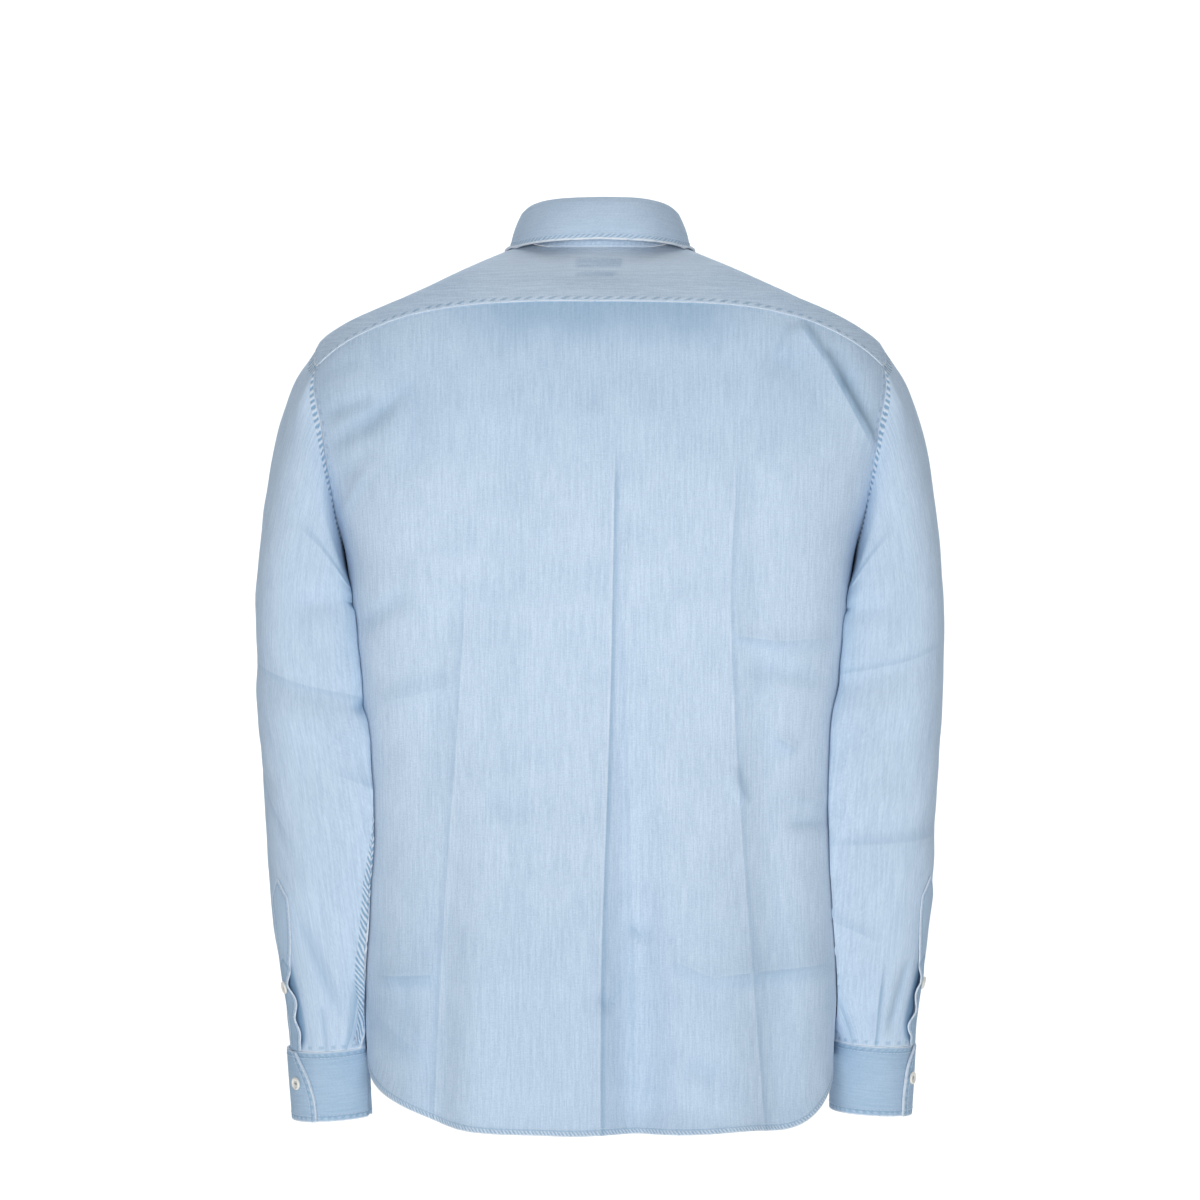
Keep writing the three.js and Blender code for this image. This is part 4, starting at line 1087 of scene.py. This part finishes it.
arm = front_station(np.linspace(0, 1, ARM_ROWS))
yoke_rise = np.linspace(0, 1, FRONT_YOKE_ROWS)[1:]
yoke_angle = np.full(len(yoke_rise), FRONT_YOKE_ANGLE)
front_angle = np.concatenate([np.zeros(len(side_levels)), arm["angle"], yoke_angle])
front_level = np.concatenate([side_levels, arm["level"], mix(arm["level"][-1], NECK_LEVEL, yoke_rise)])
arm_part = slice(len(side_levels), len(edge_level))
across = np.linspace(0, 1, FRONT_COLUMNS)
levels = np.broadcast_to(front_level[:, None], (len(front_level), FRONT_COLUMNS))
side_power = np.where(front_level < UNDERARM_LEVEL, 0.3, 0.6)[:, None]
edges = {"first_row": ROPED, "first_column": side_power, "last_column": 0.55, "last_row": 0.4}
for side, lap in (("left", SOLID_WALL + LAP_GAP), ("right", 0.0)):
    angles = mix(front_angle[:, None], (-90 - lap_angle(front_level))[:, None], across[None])
    if side == "right":
        angles = 180 - angles
    points, normals = torso_grid(angles, levels)
    lift = lap * smooth((FRONT_LAP + 30 - points[..., 0]) / 22)
    points = points + normals * lift[..., None]
    field = seam_field(points, edges)
    points = raised(points, normals, field, 0.6)
    # Painted shade beside the pleats and creases.
    shade = -0.30 * pleats(points, True) - shadows(points)
    panel = wall(
        f"front_{side}_panel", points, normals, CLOTH, cloth, field, tone=shade,
        uv=hanging_uv(angles, levels, -1), fold=fold_lines(points),
    )
    runs = inset_runs(points, normals, HEM_INSET, "first_row")
    runs += inset_runs(points, normals, BAND_INSET, "last_column")
    runs += inset_runs(points, normals, 4, "last_column")
    runs += [part_of(run, arm_part) for run in inset_runs(points, normals, ARMHOLE_INSET, "first_column")]
    sewn = stitches(f"front_{side}_stitches", runs)
    finish_piece(panel, f"front_{side}", sewn)

# Armhole stitches on the back panel
runs = inset_runs(back_points, back_normals, ARMHOLE_INSET, "first_column", "last_column")
runs = [part_of(run, arm_part) for run in runs]
ride_as(stitches("back_armhole_stitches", runs, sink=-0.35))

# Sleeves

sleeve_section = table(SLEEVE, SLEEVE_COLUMNS)
placket_edge = table(PLACKET_EDGE, PLACKET_COLUMNS)
cuff_section = table(CUFF_ROWS, CUFF_COLUMNS)


def sleeve_frame(side, at):
    a, row, at = ARMS[side], sleeve_section(at), np.asarray(at)
    low = smooth((at - 0.45) / 0.45)
    yaw = np.radians(row["yaw"] + a["forearm_yaw"] * low)
    dx, dz = row["outer_x"] - row["inner_x"], row["outer_z"] - row["inner_z"]
    tilt = np.arctan2(dz, dx)
    x = (row["outer_x"] + row["inner_x"]) / 2 - a["wrist_in"] * smooth((at - 0.6) / 0.4)
    z = (row["outer_z"] + row["inner_z"]) / 2 - a["drop"] * at
    centre = np.stack([x, row["middle_y"] + a["forearm_back"] * low, z], -1)
    outward = np.stack([np.cos(tilt) * np.cos(yaw), -np.cos(tilt) * np.sin(yaw), np.sin(tilt)], -1)
    backward = np.stack([np.sin(yaw), np.cos(yaw), np.zeros_like(yaw)], -1)
    return centre, outward, backward, np.hypot(dx, dz) / 2, row["half_depth"]


def on_section(section, degrees, extra=0.0, inner_square=SLEEVE_SQUARE):
    centre, outward, backward, half_width, half_depth = section
    c, s = np.cos(np.radians(degrees)), np.sin(np.radians(degrees))
    n = np.where(c < 0, inner_square, SLEEVE_SQUARE)
    scale = (np.abs(c) ** n + np.abs(s) ** n) ** (-1 / n)
    across = outward * ((half_width + extra) * c * scale)[..., None]
    return centre + across + backward * ((half_depth + extra) * s * scale)[..., None]


def pressed(at):
    """The sleeve is squarer where it lies against the body."""
    return SLEEVE_SQUARE + 1.9 * smooth(np.asarray(at) / 0.15) * smooth((1 - np.asarray(at)) / 0.2)


def sleeve_lines(side, rows, degrees, at):
    """For each fold or crease of a sleeve: its height, half-width and step, and how far along and off it."""
    for name, a0, t0, a1, t1, height, half, *step in rows:
        if name == side:
            x, y = (((degrees - a0 + 540) % 360) - 180) * DEGREE_WIDTH, (at - t0) * SLEEVE_LENGTH
            ends = 0, 0, (a1 - a0) * DEGREE_WIDTH, (t1 - t0) * SLEEVE_LENGTH
            yield height, half, step[0] if step else 0.0, *line_share(x, y, *ends, half)


def sleeve_relief(side, degrees, at, fine=True):
    total = np.zeros(np.broadcast(degrees, at).shape)
    for rows, reach, fade in ((SLEEVE_FOLDS, 0.15, 0.4), (SLEEVE_CREASES if fine else (), 0.1, 0.3)):
        for height, _, step, along, off in sleeve_lines(side, rows, degrees, at):
            total = total + height * faded(along, reach, fade) * profile(off, step)
    return total


def sleeve_marks(side, degrees, at):
    """Painted shade of a sleeve: on the low side of its creases, beside the placket's free edge, where it
    lies against the body and along its outer side; and its painted fold lines.
    """
    tone = np.zeros(degrees.shape)
    best = np.zeros((*degrees.shape, 3))
    for height, half, step, along, off in sleeve_lines(side, SLEEVE_CREASES, degrees, at):
        ends = faded(along, 0.1, 0.35)
        tone = tone - 0.085 * abs(height) * ends * low_side(off, height)
        best = nearest_line(best, off * half, min(1, abs(height) / 3) * step * ends)
    reach = np.clip((at - PLACKET_TOP) / (1 - PLACKET_TOP), 0, 1)
    beside = (degrees - placket_edge(reach)[side]) * 1.05
    gap = bell(np.maximum(beside, 0) / 4) * smooth((reach - 0.40) / 0.08) * smooth((1.02 - reach) / 0.1)
    inner = bell((degrees - 142) / 17) * smooth((at - 0.02) / 0.06) * smooth((0.62 - at) / 0.3)
    outer = OUTER_SHADE[side] * bell(((degrees + 172) % 360 - 180) / 24) * smooth((at - 0.15) / 0.3)
    return np.maximum(tone, -0.5) - 0.62 * gap - 0.30 * inner - outer, best


def sleeve_point(side, degrees, at, fine=True):
    degrees, at = np.broadcast_arrays(np.asarray(degrees, float), np.asarray(at, float))
    section = sleeve_frame(side, at)
    p = on_section(section, degrees, inner_square=pressed(at))
    away = unit(p - section[0])
    relief = sleeve_relief(side, degrees, at, fine)
    if fine:
        relief = relief + waves(p * ARMS[side]["mirror"] * 1.7 + 41) * 1.3
    return p + away * (relief * smooth((1 - at) / 0.04))[..., None]


def slit_angle(side, at):
    share = np.clip((at - PLACKET_TOP) / (1 - PLACKET_TOP), 0, 0.87)
    return placket_edge(share)[side] - SLIT_BEHIND_EDGE


def mirrored(points, side):
    return points * np.array([ARMS[side]["mirror"], 1, 1])


# The columns of a sleeve go round the armhole: up the back from the yoke seam, down to the underarm,
# up the front and over the yoke.
arm_share, yoke_share = np.linspace(0, 1, ARM_STEPS + 1), np.linspace(0, 1, YOKE_STEPS + 1)
stations = (
    back_station(np.linspace(1, 0, ARM_STEPS + 1)),
    front_station(arm_share[1:]),
    yoke_station(np.linspace(1, 0, YOKE_STEPS + 1)[1:]),
)
column_angle = np.concatenate([station["angle"] for station in stations])
column_level = np.concatenate([station["level"] for station in stations])
section_angle = np.concatenate([50 + 130 * arm_share, 180 + 140 * arm_share[1:], 320 + 90 * yoke_share[1:]])
armhole = torso_folded(np.radians(column_angle), column_level)
underarm_hat = np.clip(1 - np.abs(section_angle - 180) / 130, 0, 1)
at = np.linspace(0, 1, SLEEVE_ROWS) ** 1.08
grid_at, grid_angle = np.meshgrid(at, section_angle, indexing="ij")
slit_row = int(np.argmax(at > PLACKET_TOP + 0.09))

for side in ARMS:
    turn = (slit_angle(side, at) - section_angle[0]) * smooth((at - 0.3) / 0.35)
    degrees = grid_angle + turn[:, None]
    degrees = degrees - UNDERARM_SHIFT[side] * underarm_hat[None] * smooth((at - 0.34) / 0.42)[:, None]
    degrees[slit_row:, 0] += SLIT_HALF_ANGLE
    degrees[slit_row:, -1] -= SLIT_HALF_ANGLE
    start = on_section(sleeve_frame(side, np.zeros(len(section_angle))), section_angle)
    points = sleeve_point(side, degrees, grid_at)
    fade = np.maximum(0, 1 - grid_at / CAP_BLEND) ** 2
    frame_at = sleeve_frame(side, grid_at)
    plain = on_section(frame_at, degrees, inner_square=pressed(grid_at))
    points = mix(plain, points, smooth(grid_at / 0.03)[..., None]) + (armhole - start)[None] * fade[..., None]
    # The sleeve hangs against the body.
    lie = bell((degrees - 137) / 30) + 0.6 * bell((degrees - 222) / 30)
    lie = PRESSED_IN * lie * smooth(grid_at / 0.05) * smooth((1.02 - grid_at) / 0.14)
    points = points - frame_at[1] * lie[..., None]
    points = kept_clear(points, SLEEVE_CLEARANCE * smooth(grid_at / CLEARED_BY))
    points[0] = armhole
    points = mirrored(points, side)
    normals = grid_normals(points, ring=True)
    points[0] -= normals[0] * 0.35
    # A felled seam runs down the underarm.
    around, down = arc(points, 1), arc(points, 0)
    from_seam = np.abs(around - around[:, UNDERARM : UNDERARM + 1])
    field = np.stack([down, from_seam, np.full(from_seam.shape, FELLED)], -1)
    top = seam_field(points, {"first_row": FELLED, "last_row": 0.7})
    field = np.where((top[..., 1] < from_seam)[..., None], top, field)
    ridge = 0.9 * bell(from_seam / 2.2) * smooth(grid_at / 0.05)
    points = points + normals * ridge[..., None]
    # Painted shade of the sleeve, with a little more painted shade over all of it below the armhole seam.
    shade, lines = sleeve_marks(side, degrees, grid_at)
    sleeve = wall(
        f"sleeve_{side}_cloth", points, normals, CLOTH, cloth, field, closed_rows=slit_row,
        tone=shade - 0.06 * smooth(grid_at / 0.1),
        uv=np.stack([np.radians(degrees) * 55, down], -1), fold=lines,
    )
    sewn = stitches(f"sleeve_{side}_stitches", [(points[4:-2, UNDERARM + 2], normals[4:-2, UNDERARM + 2])])
    finish_piece(sleeve, f"sleeve_{side}", sewn)

# Plackets


def placket_point(side, across, share, fine=True):
    across, share = np.broadcast_arrays(np.asarray(across, float), np.asarray(share, float))
    peak = PLACKET_PEAK * np.abs(2 * across - 1) * 2
    at = mix(PLACKET_TOP, 1, mix(peak, 0.996, share))
    reach = (at - PLACKET_TOP) / (1 - PLACKET_TOP)
    degrees = placket_edge(reach)[side] - PLACKET_ANGLE * across
    loose = smooth((share - 0.4) / 0.08) * smooth((1 - share) / 0.1) * np.clip(1 - across, 0, 1) ** 1.5
    degrees = degrees + 2.2 * np.sin(share * 21 + PLACKET_PHASE[side]) * loose
    return mirrored(sleeve_point(side, degrees, at, fine), side)


def placket_grid(side, across, share, height):
    step = 0.02
    span = placket_point(side, across + step, share, False) - placket_point(side, across - step, share, False)
    fall = placket_point(side, across, np.minimum(1, share + step), False)
    fall = fall - placket_point(side, across, np.maximum(0, share - step), False)
    normal = unit(np.cross(span, fall))
    normal = np.where((normal[..., :1] * ARMS[side]["mirror"]) < 0, -normal, normal)
    gape = PLACKET_GAPE * np.clip(1 - across, 0, 1) ** 1.6
    gape = gape * smooth((share - 0.4) / 0.12) * smooth((0.99 - share) / 0.1)
    gape = gape * (1 + 0.3 * np.sin(share * 27 + 1))
    return placket_point(side, across, share) + normal * (height + gape)[..., None], normal


across, share = np.meshgrid(np.linspace(0, 1, PLACKET_COLUMNS_ACROSS), np.linspace(0, 1, PLACKET_ROWS))
box = int(PLACKET_ROWS * 0.38)
for side in ARMS:
    points, facing = placket_grid(side, across, share, SOLID_WALL + PLACKET_GAP)
    normals = grid_normals(points)
    normals *= np.sign((normals * facing).sum(-1).mean())
    field = seam_field(points, {"first_row": 0.8, "first_column": 0.8, "last_column": 0.8})
    # Painted shade on the part of the placket that gapes away from the sleeve, and a thin dark line of
    # painted shade where the gape begins.
    shade = -0.25 * smooth((share - 0.36) / 0.1) * smooth(across / 0.25) - 0.4 * bell((share - 0.40) / 0.012)
    flap = wall(f"placket_{side}_cloth", points, normals, SOLID_WALL, placket_cloth, field, tone=shade)
    runs = inset_runs(points, normals, 1.8, "first_column", "last_column", "first_row")
    runs.append((points[box, 1:-1], normals[box, 1:-1]))
    sewn = stitches(f"placket_{side}_stitches", runs, length=2.0, gap=0.6)
    finish_piece(flap, f"sleeve_placket_{side}", sewn)

# Cuffs


def cuff_point(side, share, degrees, out):
    share, degrees, out = np.broadcast_arrays(share, degrees, out)
    centre, outward, backward, _, _ = sleeve_frame(side, 1.0)
    row = cuff_section(share)
    down = unit(np.array([-math.sin(math.radians(CUFF_INWARD)), -math.sin(math.radians(CUFF_FORWARD)), -1.0]))
    middle = centre + down * (0.15 + CUFF_HEIGHT * share)[..., None]
    p = on_section((middle, outward, backward, row["half_width"], row["half_depth"]), degrees, out)
    return mirrored(kept_clear(p, SLEEVE_CLEARANCE), side)


share = np.linspace(0, 1, CUFF_GRID_ROWS)
for side in ARMS:
    # The lapped edge bulges instead of running straight.
    free = cuff_section(CUFF_EDGE_REACH * (1 - (1 - share) ** 2.3))[side]
    turn = 360 + free - (cuff_section(0)[side] - CUFF_LAP_ANGLE)
    turned = turn[:, None] * np.linspace(0, 1, CUFF_GRID_COLUMNS)[None]
    out = (CUFF + LAP_GAP) * smooth((CUFF_LAP_ANGLE + 70 - turned) / 60)
    rows = np.broadcast_to(share[:, None], turned.shape)
    points = cuff_point(side, rows, free[:, None] - turned, out)
    normals = grid_normals(points)
    points = points + normals * (0.25 * waves(points * 2.2))[..., None]
    field = seam_field(points, {"first_row": 0.9, "last_row": 1.0, "first_column": 1.0})
    patches = waves(points * 2.6 + 30)
    shade = -0.1 - 0.12 * np.exp(-rows * 5) * (1 + patches) - 0.05 * patches
    cuff = wall(f"cuff_{side}_cloth", points, normals, CUFF, cuff_cloth, field, tone=shade)
    runs = inset_runs(points, normals, TOPSTITCH_INSET, "last_row", "first_row", "first_column")
    sewn = stitches(f"cuff_{side}_stitches", runs)
    finish_piece(cuff, f"cuff_{side}", sewn)

# Collar


def ring_row(row):
    return dict(zip(RING, row))


def stand_point(degrees, share):
    degrees, share = np.broadcast_arrays(np.asarray(degrees, float), np.asarray(share, float))
    foot, top = (ring_point(ring_row(row), np.radians(degrees)) for row in (STAND_FOOT, STAND_TOP))
    p = mix(foot, top, share[..., None])
    past = np.maximum(np.maximum(-90 - degrees, degrees - 270), 0)
    p[..., 2] -= STAND_CORNER_DROP * share * smooth((past - 3) / (STAND_LAP_ANGLE - 3))
    left = smooth((-90 + STAND_LAP_BLEND - degrees) / STAND_LAP_BLEND)
    right = smooth((degrees - (270 - STAND_LAP_BLEND)) / STAND_LAP_BLEND)
    return p + unit(p * np.array([1, 1, 0])) * ((COLLAR + LAP_GAP) / 2 * (left - right))[..., None]


round_neck = np.linspace(-90 - STAND_LAP_ANGLE, 270 + STAND_LAP_ANGLE, STAND_COLUMNS)
points = stand_point(*np.meshgrid(round_neck, np.linspace(0, 1, STAND_ROWS)))
normals = grid_normals(points)
field = seam_field(points, {"first_row": 0.3, "first_column": 0.5, "last_column": 0.5})
stand = wall("collar_stand_cloth", points, normals, COLLAR, collar_cloth, field)
runs = inset_runs(points, normals, 1.8, "first_row") + inset_runs(points, normals, 4, "first_column")
sewn = stitches("collar_stand_stitches", runs)
finish_piece(stand, "collar_stand", sewn)

degrees = np.linspace(LEAF_FRONT_ANGLE, 180 - LEAF_FRONT_ANGLE, LEAF_GRID_COLUMNS)
rings = np.stack([ring_point(ring_row(r), np.radians(degrees)) for r in LEAF_RINGS])
reach = np.where(degrees <= 90, 90 - degrees, degrees - 90) / (90 - LEAF_FRONT_ANGLE)
edge = table(LEAF_EDGE, LEAF_COLUMNS)(np.minimum(1, reach))
edge = np.stack([edge["x"] * np.where(degrees <= 90, 1, -1), edge["y"], edge["z"]], -1)
roll = curve([0, 0.22, 0.5, 0.8], [0, 1, 2, 3])
leaf_rows = []
for s in np.linspace(0, 0.8, 17):
    place = float(roll(s))
    i = min(2, int(place))
    t = place - i
    p0, p1, p2, p3 = (rings[k] for k in (max(0, i - 1), i, i + 1, min(3, i + 2)))
    bent = 2 * p1 + (p2 - p0) * t + (2 * p0 - 5 * p1 + 4 * p2 - p3) * t * t
    leaf_rows.append(0.5 * (bent + (3 * p1 - p0 - 3 * p2 + p3) * t**3))
for s in np.linspace(0, 1, 26)[1:]:
    p = mix(rings[3], edge, s)
    p = p + unit(p * np.array([1, 1, 0])) * (LEAF_BULGE * 4 * s * (1 - s))
    leaf_rows.append(kept_clear(p, LEAF_CLEARANCE + COLLAR))
points = np.stack(leaf_rows)
normals = grid_normals(points)
points = points + normals * (0.5 * waves(points * 1.6 + 9) * smooth(arc(points, 0) / 14))[..., None]
field = seam_field(points, {"last_row": 1.0, "first_column": 0.9, "last_column": 0.9})
leaf = wall("collar_leaf_cloth", points, normals, COLLAR, collar_cloth, field)
runs = inset_runs(points, normals, TOPSTITCH_INSET, "last_row", "first_column", "last_column")
sewn = stitches("collar_leaf_stitches", runs)
finish_piece(leaf, "collar_fall", sewn)

# Buttons


def circle(x, y, z, radius, sides, start=0.0):
    turns = [start + 2 * math.pi * k / sides for k in range(sides)]
    return [(x + radius * math.cos(turn), y + radius * math.sin(turn), z) for turn in turns]


def button(name, node, seat, normal):
    """A four-hole button with a raised rim, and its thread in two bars."""
    turn = Vector(normal).to_track_quat("Z", "Y").to_matrix().to_4x4()
    turn = Matrix.Translation(Vector(seat + normal * 0.3) * MM) @ turn
    vertices = []
    for radius, height in BUTTON_PROFILE:
        vertices += circle(0, 0, height * BUTTON_THICKNESS, radius * BUTTON_RADIUS, BUTTON_SIDES)
    faces = tube_faces(0, len(BUTTON_PROFILE), BUTTON_SIDES, capped=False)
    # The middle, with four round holes sunk into it
    top = BUTTON_PROFILE[-1][1] * BUTTON_THICKNESS
    base = len(vertices)
    last = base - BUTTON_SIDES
    for q in range(4):
        angle = math.pi / 2 * q + math.pi / 4
        for z in (top, top - HOLE_DEPTH):
            x, y = HOLE_AT * math.cos(angle), HOLE_AT * math.sin(angle)
            vertices += circle(x, y, z, HOLE_RADIUS, HOLE_SIDES, angle)
    centre = len(vertices)
    vertices.append((0, 0, top))
    steps = BUTTON_SIDES // 4
    for q in range(4):
        rim = base + q * HOLE_SIDES * 2
        foot = rim + HOLE_SIDES
        for k in range(HOLE_SIDES):
            after = (k + 1) % HOLE_SIDES
            faces.append((rim + after, rim + k, foot + k, foot + after))
        faces.append(tuple(range(foot, foot + HOLE_SIDES)))
        # From the hole's rim to the quarter of the outer ring that faces it, and to the centre
        outer = [last + (q * steps + k) % BUTTON_SIDES for k in range(steps + 1)]
        near = [rim + (k - 3) % HOLE_SIDES for k in range(7)]
        for k in range(steps):
            j, j_next = min(5, int(k * 6 / steps)), min(6, int((k + 1) * 6 / steps))
            inner = (near[j],) if j == j_next else (near[j_next], near[j])
            faces.append((outer[k], outer[k + 1], *inner))
        for k in range(6):
            faces.append((centre, rim + (4 + k) % HOLE_SIDES, rim + (3 + k) % HOLE_SIDES))
        next_rim = base + ((q + 1) % 4) * HOLE_SIDES * 2
        faces.append((centre, outer[-1], near[6]))
        faces.append((centre, next_rim + (0 - 3) % HOLE_SIDES, outer[-1]))
    faces.append(tuple(reversed(range(BUTTON_SIDES))))
    obj = in_scene(name, [tuple(MM * c for c in v) for v in vertices], faces, shell.material)
    obj.data.transform(turn)
    ride_as(obj)
    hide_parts(node)
    # Thread through the holes: two short parallel bars
    c = HOLE_AT * math.cos(math.pi / 4)
    vertices, faces = [], []
    for y in (-c, c):
        bar = ((-c, y, top - 0.2), (-c * 0.5, y, top + 0.35), (c * 0.5, y, top + 0.35), (c, y, top - 0.2))
        bar = np.array([list((turn @ Vector(p * MM)) / MM) for p in np.array(bar)])
        sideways = np.cross(unit(bar[-1] - bar[0]), normal)
        faces += tube_faces(len(vertices), len(bar), BAR_SIDES)
        for p in bar:
            for k in range(BAR_SIDES):
                angle = math.pi * 2 * k / BAR_SIDES
                spoke = math.cos(angle) * sideways + math.sin(angle) * normal
                vertices.append(tuple((p + BAR_RADIUS * spoke) * MM))
    ride_as(in_scene(name + "_thread", vertices, faces, thread.material))


def seat_on(surface, u, v, step_u, step_v, mirror):
    across = surface(u + step_u, v) - surface(u - step_u, v)
    along = surface(u, v + step_v) - surface(u, v - step_v)
    normal = unit(np.cross(across, along))
    return surface(u, v), -normal if normal[0] * mirror < 0 else normal


neck_seat = stand_point(np.array(-90.0), np.array(0.5))
button("button_collar_shown", "button_collar", neck_seat, unit(np.array([0, -0.98, 0.2])))
levels = np.linspace(0, NECK_LEVEL, 4000)
front = np.radians(np.full(levels.shape, -90.0))
centre_line, centre_normal = torso_folded(front, levels), normal_of(torso_folded, front, levels)
for i in range(FRONT_BUTTONS):
    near = int(np.argmin(np.abs(centre_line[:, 2] - (FIRST_BUTTON_Z - BUTTON_PITCH * i))))
    n = centre_normal[near]
    place = centre_line[near] + n * (SOLID_WALL + LAP_GAP)
    button(f"button_front_{i + 1}_shown", f"button_front_{i + 1}", place, n)
for side, a in ARMS.items():
    on_placket = lambda x, y: placket_grid(side, np.array(x), np.array(y), SOLID_WALL + PLACKET_GAP)[0]
    place, n = seat_on(on_placket, 0.5, PLACKET_BUTTON_AT, 0.15, 0.03, a["mirror"])
    button(f"button_placket_{side}_shown", f"button_placket_{side}", place, n)
    on_cuff = lambda x, y: cuff_point(side, np.array(y), np.array(x), np.array(CUFF + LAP_GAP))
    place, n = seat_on(on_cuff, CUFF_BUTTON_ANGLE[side], CUFF_BUTTON_AT, 5, 0.06, a["mirror"])
    button(f"button_cuff_{side}_shown", f"button_cuff_{side}", place, n)

# Floor, lights and camera

paint = Shading("floor_paint", (0.95, 0.95, 0.95))
paint.feed(paint.shader["Base Color"], (0.95, 0.95, 0.95))
paint.feed(paint.shader["Roughness"], 0.95)
quarter_turn = np.linspace(0, math.pi / 2, 12)
bend = [(-2.6 - 1.4 * math.sin(t), FLOOR + 1.4 * (1 - math.cos(t))) for t in quarter_turn]
sweep = [(6.0, FLOOR), (-2.6, FLOOR)] + bend[1:] + [(-4.0, 6.0)]
floor_vertices = [(x, y, z) for y, z in sweep for x in (-8.0, 8.0)]
floor_faces = [(2 * i, 2 * i + 1, 2 * i + 3, 2 * i + 2) for i in range(len(sweep) - 1)]
in_scene("floor", floor_vertices, floor_faces, paint.material)

world = bpy.data.worlds.new("studio")
bpy.context.scene.world = world
world.use_nodes = True
world.node_tree.nodes["Background"].inputs["Color"].default_value = (1, 1, 1, 1)
world.node_tree.nodes["Background"].inputs["Strength"].default_value = WORLD_LIGHT

for name, place, target, size, energy in LIGHTS:
    light = bpy.data.lights.new(name, "AREA")
    light.shape = "RECTANGLE"
    light.size, light.size_y = size
    light.energy = energy
    lamp = bpy.data.objects.new(name, light)
    lamp.location = place
    lamp.rotation_mode = "QUATERNION"
    lamp.rotation_quaternion = (Vector(target) - Vector(place)).to_track_quat("-Z", "Y")
    bpy.context.scene.collection.objects.link(lamp)

camera_data = bpy.data.cameras.new("camera")
camera_data.sensor_width = 36
camera_data.lens = CAMERA_LENS
camera_data.clip_end = 50
camera = bpy.data.objects.new("camera", camera_data)
camera.location = CAMERA_PLACE
camera.rotation_mode = "XYZ"
camera.rotation_euler = (math.radians(90), 0, math.radians(180))
bpy.context.scene.collection.objects.link(camera)
bpy.context.scene.camera = camera
bpy.context.scene.view_settings.view_transform = "Standard"
